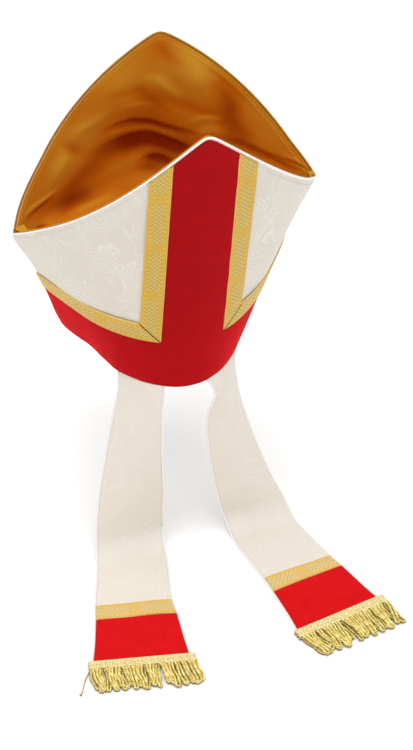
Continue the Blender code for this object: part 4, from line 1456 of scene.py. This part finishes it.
    def bars(self) -> list[bpy.types.Object]:
        """Build the small stitched bars at the side points."""
        made = []
        for side in Side:
            seat, facing = self.spots(np.array([side.value * (self.end + self.bar_place)]), np.array([1.0, -1.0]))
            middle, half = (seat + facing) / 2, np.linalg.norm(seat - facing) / 2
            lines = []
            for step in range(self.bar_turns[side]):
                spread = np.linspace(-1.0, 1.0, 9)
                wide = half + self.bar_radius + 0.00035 * step
                line = middle + np.stack([
                    np.full(9, -side.value * (step - 0.5) * self.bar_radius * 2.0),
                    spread * wide, self.bar_radius * (3.0 + 2.0 * (1 - spread ** 2)) - 0.0001 * step], axis=-1)
                lines.append((line, self.bar_radius, 6))
            bar = tubes_object(f"side_tack_{label(side)}_thread", lines, GOLD_THREAD)
            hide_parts(f"side_tack_{label(side)}")
            made.append(bar)
        return made

    def stitches(self) -> list[bpy.types.Object]:
        """Build the topstitching of the lining below each horn's edge."""
        threads = []
        for horn in Horn:
            around = np.linspace(-0.95, 0.95, 1200)
            height = self.form.edge(around) - self.stitch_drop
            offset = -(self.form.wall + TUCK_CLEARANCE + self.wall + THREAD_LIFT)
            line = self.form.face(horn, around, height, np.full(around.shape, offset))
            thread = tubes_object(f"{label(horn)}_lining_stitches", StitchRow(length=0.0021).lines(line), BROWN_THREAD)
            threads.append(thread)
        return threads


# Share of the lappet's length, middle's place as a share of the spacing, turn in degrees, hollow share.
LAPPET_SECTIONS: dict[Side, np.ndarray] = {
    Side.LEFT: np.array([
        (0.00, 1.000, 46.0, 0.13), (0.07, 1.038, 50.0, 0.11), (0.14, 1.101, 46.0, 0.09),
        (0.22, 1.173, 40.0, 0.08), (0.33, 1.250, 28.0, 0.06), (0.44, 1.324, 14.0, 0.04),
        (0.54, 1.373, 5.0, 0.02), (0.62, 1.509, 8.0, 0.00), (0.77, 1.875, 10.8, 0.00),
        (0.83, 1.969, 11.0, 0.00), (1.00, 2.303, 11.5, 0.00)]),
    Side.RIGHT: np.array([
        (0.00, 0.933, 40.0, 0.13), (0.07, 0.996, 45.0, 0.16), (0.14, 0.944, 34.0, 0.14),
        (0.22, 1.004, 27.0, 0.09), (0.33, 1.175, 21.0, 0.06), (0.44, 1.398, 14.0, 0.04),
        (0.54, 1.652, 4.0, 0.02), (0.62, 1.742, 5.0, 0.00), (0.77, 1.946, 8.0, 0.00),
        (0.83, 2.031, 10.0, 0.00), (1.00, 2.234, 11.7, 0.00)]),
}

# Share of the lappet's length and width as a share of its top width.
LAPPET_WIDTHS: np.ndarray = np.array([
    (0.00, 1.00), (0.10, 1.05), (0.25, 1.15), (0.40, 1.28), (0.55, 1.38),
    (0.77, 1.55), (0.83, 1.65), (0.93, 1.80), (1.00, 1.94)])


# Lengths from the rim at which the right lappet's inner edge swings out and in, each with its reach.
SWING_OUT: tuple[float, float] = (0.021, 0.009)
SWING_IN: tuple[float, float] = (0.002, 0.007)


@dataclass(frozen=True)
class LappetForm:
    """Route and section of one lappet, from the rim down and along the floor."""

    side: Side
    mitre: MitreForm = field(default_factory=MitreForm)
    spacing: float = 0.0445
    top_width: float = 0.0490
    length: float = 0.3410
    wall: float = 0.0020
    tuck: float = 0.0120
    lean: float = 0.0220
    bend: float = 0.0200
    edging: float = 0.0008
    rim_bow: float = 1.09
    curl: float = 0.0040

    def half_width(self, length: np.ndarray) -> np.ndarray:
        """Half the width of the cloth at lengths from the rim, inside its edging."""
        whole = curve_through(LAPPET_WIDTHS, np.atleast_1d(length) / self.length)[:, 0] * self.top_width
        return whole / 2 - self.edging - GAP

    def tucked(self, across: np.ndarray, height: np.ndarray, lift: np.ndarray | float = 0.0) -> np.ndarray:
        """Points of the cloth where it is sewn inside the rim."""
        start = LAPPET_SECTIONS[self.side][0, 1] * self.spacing * self.rim_bow
        arc = self.side.value * (start + across * self.half_width(np.zeros(1))[0])
        around = self.mitre.around_at(arc, height)
        offset = -(self.mitre.wall + TUCK_CLEARANCE) + np.asarray(lift) * np.ones_like(around)
        return self.mitre.face(Horn.BACK, around, np.broadcast_to(height, around.shape), offset)

    def profile(self, length: np.ndarray) -> tuple[np.ndarray, np.ndarray, np.ndarray]:
        """Side view of the lappet at lengths from the rim.

        Args:
            length: Lengths along the cloth.

        Returns:
            Distance back, height and slope.
        """
        start = self.tucked(np.zeros(1), np.zeros(1))[0]
        rest = self.wall + FLOOR_HEIGHT
        drop = start[2] - (rest + self.bend)
        slant = math.atan2(self.lean, drop)
        hang = math.hypot(self.lean, drop)
        turn = math.pi / 2 - slant
        radius = self.bend / (1.0 - math.sin(slant))
        bend = np.clip((length - hang) / radius, 0.0, turn)
        angle = slant + bend
        share = np.clip(length / hang, None, 1.0)
        back = start[1] - self.lean * share - radius * (math.cos(slant) - np.cos(angle))
        height = np.where(length <= hang, start[2] - drop * share, rest + radius * (1.0 - np.sin(angle)))
        return back - np.clip(length - hang - turn * radius, 0.0, None), height, angle

    def frames(self, length: np.ndarray) -> tuple[np.ndarray, np.ndarray, np.ndarray, np.ndarray]:
        """Middle of the outer face and its directions at lengths from the rim.

        Args:
            length: Lengths along the cloth.

        Returns:
            Middle, across, along and outward, one row each.
        """
        table = curve_through(LAPPET_SECTIONS[self.side], length / self.length)
        back, height, angle = self.profile(length)
        turn = np.radians(table[:, 1])
        sign = self.side.value
        zero = np.zeros_like(turn)
        across = np.stack([sign * np.cos(turn), np.sin(turn), zero], axis=-1)
        ahead = np.stack([sign * np.sin(turn), -np.cos(turn), zero], axis=-1)
        along = ahead * np.sin(angle)[:, None] - UP * np.cos(angle)[:, None]
        outward = ahead * np.cos(angle)[:, None] + UP * np.sin(angle)[:, None]
        middle = np.stack([sign * table[:, 0] * self.spacing, back, height], axis=-1)
        return middle, across, along, outward

    def points(self, across: np.ndarray, length: np.ndarray, lift: np.ndarray | float = 0.0) -> np.ndarray:
        """Points of the outer face.

        Args:
            across: Places from the inner edge, -1, to the outer, 1.
            length: Lengths from the rim; negative ones are tucked inside it.
            lift: Distance out from the face, as lengths by places.

        Returns:
            Points, as lengths by places by 3.
        """
        lift = np.broadcast_to(np.asarray(lift, float), (len(length), len(across)))
        hung = np.maximum(length, 0.0)
        middle, sideways, _, outward = self.frames(hung)
        half = self.half_width(hung)
        hollow = curve_through(LAPPET_SECTIONS[self.side], hung / self.length)[:, 2] * half
        out = lift + hollow[:, None] * (1.0 - across[None, :] ** 2) - hollow[:, None] * 2.0 / 3.0
        points = (middle[:, None] + sideways[:, None] * (across[None, :] * half[:, None])[..., None]
                  + outward[:, None] * out[..., None])
        if self.side is Side.RIGHT:
            # The inner edge swings in and out where the cloth leaves the rim.
            swings = [np.exp(-(((length - place) / reach) ** 2)) for place, reach in (SWING_OUT, SWING_IN)]
            swing = self.curl * (swings[0] - swings[1])
            inner = clipped((-across - 0.1) / 0.9) ** 2
            points = points + sideways[:, None] * (swing[:, None] * inner[None, :])[..., None]
        for index in np.flatnonzero(length <= 0.0):
            points[index] = self.tucked(across, np.full(across.shape, -length[index]), lift[index])
        return points


@dataclass(frozen=True)
class Lappet:
    """One lappet: lined damask strip, galloon, red end and white edging."""

    side: Side
    form: LappetForm
    braid_width: float = 0.0195
    red_length: float = 0.0585
    columns: int = 37
    laid: float = 0.0002
    lap: float = 0.0001
    damask_crown: float = 0.0004
    braid_crown: float = 0.0010
    crepe_crown: float = 0.0007

    def name(self, piece: str = "") -> str:
        """Name of a piece of this lappet."""
        return f"lappet_{label(self.side)}{piece}"

    def strip(self, piece: str, lengths: np.ndarray, base: float, lift: float, wall: float, finish: Finish,
              along_x: bool = False) -> bpy.types.Object:
        """Build one layer of the lappet.

        Args:
            piece: Name of the piece.
            lengths: Lengths from the rim of its rows.
            base: Height of its edges above the outer face.
            lift: Height of its middle above its edges.
            wall: Thickness below the outer face.
            finish: Finish of the layer.
            along_x: True where the map runs across the lappet.

        Returns:
            The layer.
        """
        share = eased(self.columns)
        across = share * 2.0 - 1.0
        crown = soft_edge(share, 0.06)[None, :]
        ends = np.minimum(lengths - lengths[0], lengths[-1] - lengths)
        soft = rounded(ends / 0.0008)[:, None]
        half = self.form.half_width(np.maximum(lengths, 0.0))
        width = across[None, :] * half[:, None]
        place = np.stack(np.broadcast_arrays(width, lengths[:, None]), axis=-1)
        uneven = 0.00025 * noise_field(place, 3 + self.side.value, 0.045)
        outer = self.form.points(across, lengths, base + (lift + uneven) * crown * soft)
        inner = self.form.points(across, lengths, -wall)
        if along_x:
            place = np.stack(np.broadcast_arrays(width + 0.06, (lengths - lengths[0])[:, None]), axis=-1)
        return slab(self.name(piece), outer, inner, place, finish)

    def build(self) -> list[bpy.types.Object]:
        """Build every piece of the lappet but its fringe.

        Returns:
            The pieces.
        """
        form = self.form
        red = form.length - self.red_length
        braid = red - self.braid_width
        rows = np.concatenate([np.linspace(-form.tuck, 0.0, 8)[:-1], np.linspace(0.0, form.length, 230)])
        cloth = self.strip("_cloth", rows, -self.laid, self.damask_crown, form.wall, LAPPET_DAMASK)
        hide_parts(self.name())
        band = self.strip("_galloon", np.linspace(braid, red, 40), self.laid, self.braid_crown, self.lap,
                          LAPPET_GALLOON, along_x=True)
        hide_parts(self.name("_braid"))
        end = self.strip("_crepe", np.linspace(red - 0.0005, form.length + 0.0006, 60), self.laid,
                         self.crepe_crown, self.lap, LAPPET_CREPE)
        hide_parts(self.name("_end"))
        edgings = [self.edging(-1.0, "inner"), self.edging(1.0, "outer")]
        return [cloth, band, end, *edgings]

    def edging(self, across: float, edge: str) -> bpy.types.Object:
        """Build the white edging of one long edge.

        Args:
            across: -1 for the inner edge, 1 for the outer.
            edge: Its name.

        Returns:
            The edging.
        """
        lengths = np.linspace(0.0021, self.form.length + 0.001, 320)
        _, sideways, _, outward = self.form.frames(lengths)
        line = self.form.points(np.array([across]), lengths)[:, 0]
        line = line + sideways * across * (self.form.edging + GAP) - outward * (self.form.wall * 0.45)
        item = tubes_object(self.name(f"_edging_{edge}_cord"), [(line, self.form.edging + 0.0003, 10)], CORDING)
        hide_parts(self.name(f"_edging_{edge}"))
        return item


@dataclass(frozen=True)
class BullionFringe:
    """Bullion fringe of one lappet: a plaited gimp with twisted cords that turn back in loops."""

    side: Side
    form: LappetForm
    depth: float = 0.0090
    overhang: float = 0.0045
    length: float = 0.0325
    loops: int = 18
    layers: int = 2
    lean: dict[Side, float] = field(default_factory=lambda: {Side.LEFT: 9.0, Side.RIGHT: 3.0})
    fan: float = 7.0
    ply: float = 0.00082
    twist_pitch: float = 0.0052
    header_height: float = 0.0040
    plait_swing: float = 0.0045
    plait_pitch: float = 0.0110
    strands: int = 6
    strand: float = 0.00095
    core: float = 0.0017
    core_drop: float = 0.0021
    core_spread: float = 0.0042
    seed: int = 7

    def place(self) -> tuple[np.ndarray, np.ndarray, np.ndarray, float]:
        """Where the fringe lies.

        Returns:
            Middle of the cloth's end on the floor, rightward, ahead and half the header's width.
        """
        middle, sideways, ahead, _ = self.form.frames(np.array([self.form.length]))
        spot = middle[0].copy()
        spot[2] = FLOOR_HEIGHT
        half = float(self.form.half_width(np.array([self.form.length]))[0]) + self.overhang
        return spot, sideways[0] * self.side.value, unit(ahead[0] * np.array([1.0, 1.0, 0.0])), half

    def plies(self, line: np.ndarray, phase: float) -> list[tuple[np.ndarray, float, int]]:
        """Two plies twisted round a line.

        Args:
            line: Centreline of the cord.
            phase: Where the twist starts.

        Returns:
            A centreline, radius and number of sides for each ply.
        """
        run = along_line(line)
        ahead = unit(np.gradient(line, axis=0))
        across = unit(np.cross(ahead, UP))
        above = np.cross(across, ahead)
        result = []
        for turn in (0.0, math.pi):
            angle = phase + turn + run * 2 * math.pi / self.twist_pitch
            ring = across * np.cos(angle)[:, None] + above * np.sin(angle)[:, None]
            result.append((line + ring * self.ply * 0.88, self.ply, 6))
        return result

    def header(self) -> list[tuple[np.ndarray, float, int]]:
        """Plait of the header: strands that swing over and under each other on a padded core."""
        spot, right, ahead, half = self.place()
        run = np.linspace(-half, half, 300)
        middle = spot + ahead * (self.depth * 0.42) + UP * self.header_height + right * run[:, None]
        lines = []
        for number in range(self.strands):
            angle = 2 * math.pi * (run / self.plait_pitch + number / self.strands)
            line = (middle + ahead * (self.plait_swing * np.sin(angle))[:, None]
                    + UP * (0.0006 * np.cos(3 * angle) + 0.0004)[:, None])
            lines.append((line, self.strand, 6))
        for shift in (-self.core_spread, 0.0, self.core_spread):
            lines.append((middle + ahead * shift - UP * self.core_drop, self.core, 8))
        return lines

    def loop(self, source: random.Random, layer: int, number: int) -> np.ndarray:
        """Centreline of one cord, out from the header, round its loop and back.

        Args:
            source: Chance that lets every loop fall its own way.
            layer: 0 for the loops on the floor, 1 for those on top of them.
            number: Place of the loop along the header.

        Returns:
            Points of the centreline, in the header's own metres: rightward, ahead and up.
        """
        _, _, _, half = self.place()
        pitch = 2 * half / self.loops
        centre = -half + pitch * (number + (0.5 if layer else 0.25)) + source.uniform(-0.0007, 0.0007)
        centre = max(-half + 0.0022, min(half - 0.0022, centre))
        lean = math.radians(self.lean[self.side] - self.side.value * self.fan * centre / half)
        lean += source.gauss(0.0, math.radians(6.0))
        length = self.length * source.uniform(0.82, 1.08) * (1.0 if layer else 0.96)
        open_width = pitch * source.uniform(0.40, 0.52)
        tip_width = self.ply * source.uniform(1.5, 2.3)
        bow = source.gauss(0.0, 0.0016)
        t = np.linspace(0.0, 1.0, 30)
        narrowing = smooth(t)
        spread = open_width / 2 * (1 - narrowing) + tip_width * narrowing
        wave = bow * np.sin(math.pi * t) + 0.0005 * np.sin(2 * math.pi * t * source.uniform(1.0, 2.0))
        turns = np.linspace(0.0, math.pi, 11)[1:-1]
        across = np.concatenate([wave - spread, -tip_width * np.cos(turns), (wave + spread)[::-1]])
        forward = np.concatenate([length * t, length + tip_width * np.sin(turns), (length * t)[::-1]])
        reach = clipped(forward / length)
        rise = 0.0006 * (1 - reach) ** 2 + layer * (0.0004 + 0.0021 * np.sin(math.pi * reach) ** 0.5)
        rise = rise + source.uniform(0.0, 0.0006)
        x = centre + across * math.cos(lean) + forward * math.sin(lean)
        y = self.depth * 0.50 + forward * math.cos(lean) - across * math.sin(lean)
        return np.stack([x, y, 1.9 * self.ply + rise], axis=-1)

    def cords(self) -> list[tuple[np.ndarray, float, int]]:
        """Twisted cords that come out of the header and lie on the floor, looped at their ends."""
        source = random.Random(self.seed + self.side.value)
        spot, right, ahead, _ = self.place()
        lines = []
        for layer in range(self.layers):
            for number in range(self.loops):
                own = self.loop(source, layer, number)
                line = spot + right * own[:, :1] + ahead * own[:, 1:2] + UP * own[:, 2:]
                lines += self.plies(line, source.uniform(0.0, 2 * math.pi))
        return lines

    def loose_thread(self) -> list[tuple[np.ndarray, float, int]]:
        """Single strand that has slipped out at the left lappet's corner, with its knot."""
        if self.side is not Side.LEFT:
            return []
        spot, right, ahead, half = self.place()
        t = np.linspace(0.0, 1.0, 40)
        line = (spot - right * (half * 0.97 + 0.0150 * t + 0.0012 * np.sin(5.0 * t))[:, None]
                + ahead * (0.006 + 0.0330 * t)[:, None] + UP * 0.0010)
        return [(line, 0.00060, 6), (line[-5:] + UP * 0.0003, 0.0011, 8)]

    def mark_painted_light(self, piece: bpy.types.Object, top: float) -> None:
        """Note at each point how much it faces up and how high it lies, which the finish turns into painted light and
        shade.

        Args:
            piece: Header or cords.
            top: Height of the piece's highest strands above the floor.
        """
        mesh = piece.data
        normals, spots = (np.zeros(len(mesh.vertices) * 3, dtype=np.float32) for _ in range(2))
        mesh.vertices.foreach_get("normal", normals)
        mesh.vertices.foreach_get("co", spots)
        # Painted light: facing up and lying high count as lit.
        facing = normals.reshape(-1, 3)[:, 2] * 0.5 + 0.5
        height = clipped((spots.reshape(-1, 3)[:, 2] - FLOOR_HEIGHT) / top)
        crest = mesh.attributes.new("crest", "FLOAT", "POINT")
        crest.data.foreach_set("value", (0.65 * facing + 0.35 * height).astype(np.float32))

    def build(self) -> list[bpy.types.Object]:
        """Build the fringe.

        Returns:
            The header and the cords.
        """
        gimp = tubes_object(f"lappet_{label(self.side)}_gimp", self.header(), GIMP)
        cords = tubes_object(f"lappet_{label(self.side)}_cords", self.cords() + self.loose_thread(), BULLION)
        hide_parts(f"lappet_{label(self.side)}_fringe")
        self.mark_painted_light(gimp, 0.0060)
        self.mark_painted_light(cords, 0.0048)
        return [gimp, cords]


@dataclass(frozen=True)
class Studio:
    """Plain pale sweep, soft light from above and the camera."""

    floor_size: float = 9.0
    camera_place: tuple[float, float, float] = (-0.8134, -2.2097, 1.7946)
    camera_right: tuple[float, float, float] = (0.9380, -0.3455, 0.0283)
    camera_up: tuple[float, float, float] = (0.1952, 0.5939, 0.7805)
    camera_back: tuple[float, float, float] = (-0.2865, -0.7266, 0.6245)
    focal_pixels: float = 3016.0
    image_height: float = 750.0
    sensor: float = 36.0
    sky: float = 0.88
    lamps: tuple[tuple[str, tuple[float, float, float], float, float], ...] = (
        ("overhead_box", (-0.4, -0.5, 2.6), 2.4, 42.0),
        ("left_box", (-2.2, -1.6, 1.4), 1.8, 2.0),
        ("right_box", (2.4, -0.6, 1.2), 1.8, 6.0),
    )

    def floor(self) -> bpy.types.Object:
        """Build the sweep that the lappets lie on."""
        half = self.floor_size / 2
        steps = np.linspace(-half, half, 5)
        x, y = np.meshgrid(steps, steps)
        points = np.stack([x.ravel(), y.ravel(), np.full(x.size, FLOOR_HEIGHT - 0.0001)], axis=-1)
        mesh = bpy.data.meshes.new("sweep")
        mesh.from_pydata(points.tolist(), [], grid_faces(5, 5).tolist())
        mesh.uv_layers.new(name=CLOTH_MAP)
        mesh.materials.append(SWEEP.material())
        item = bpy.data.objects.new("sweep", mesh)
        bpy.context.scene.collection.objects.link(item)
        return item

    def lamp(self, name: str, place: tuple[float, float, float], size: float, power: float) -> bpy.types.Object:
        """Add one soft box that faces the mitre.

        Args:
            name: Name of the lamp.
            place: Where it hangs.
            size: Side of its square.
            power: Power in watts.

        Returns:
            The lamp.
        """
        data = bpy.data.lights.new(name, "AREA")
        data.size = size
        data.energy = power
        item = bpy.data.objects.new(name, data)
        bpy.context.scene.collection.objects.link(item)
        spot = Matrix.Translation(place)
        aim = -spot.translation
        item.matrix_world = spot @ aim.to_track_quat("-Z", "Y").to_matrix().to_4x4()
        return item

    def camera(self) -> bpy.types.Object:
        """Add the camera at the photograph's angle."""
        data = bpy.data.cameras.new("camera")
        data.sensor_width = self.sensor
        data.lens = self.focal_pixels * self.sensor / self.image_height
        data.clip_start = 0.05
        item = bpy.data.objects.new("camera", data)
        bpy.context.scene.collection.objects.link(item)
        columns = zip(self.camera_right, self.camera_up, self.camera_back, self.camera_place)
        item.matrix_world = Matrix([*columns, (0.0, 0.0, 0.0, 1.0)])
        bpy.context.scene.camera = item
        return item

    def build(self) -> None:
        """Set up floor, light and camera."""
        self.floor()
        self.camera()
        for name, place, size, power in self.lamps:
            self.lamp(name, place, size, power)
        world = bpy.data.worlds.new("studio")
        world.use_nodes = True
        world.node_tree.nodes["Background"].inputs["Color"].default_value = linear("#FFFFFF")
        world.node_tree.nodes["Background"].inputs["Strength"].default_value = self.sky
        bpy.context.scene.world = world
        bpy.context.scene.view_settings.view_transform = "Standard"


def report(piece: bpy.types.Object) -> None:
    """Log one piece with its number of faces."""
    LOG.info("%s: %d faces", piece.name, len(piece.data.polygons))


def main() -> None:
    """Build the studio and every sub-assembly, in order, and report each piece."""
    logging.basicConfig(level=logging.INFO, format="%(name)s %(message)s")
    Studio().build()
    pieces: list[bpy.types.Object] = []
    for horn in Horn:
        pieces += HornShell(horn).build()
    pieces += Gusset().build()
    for side in Side:
        form = LappetForm(side)
        pieces += Lappet(side, form).build()
        pieces += BullionFringe(side, form).build()
    for piece in pieces:
        report(piece)


if __name__ == "__main__":
    main()
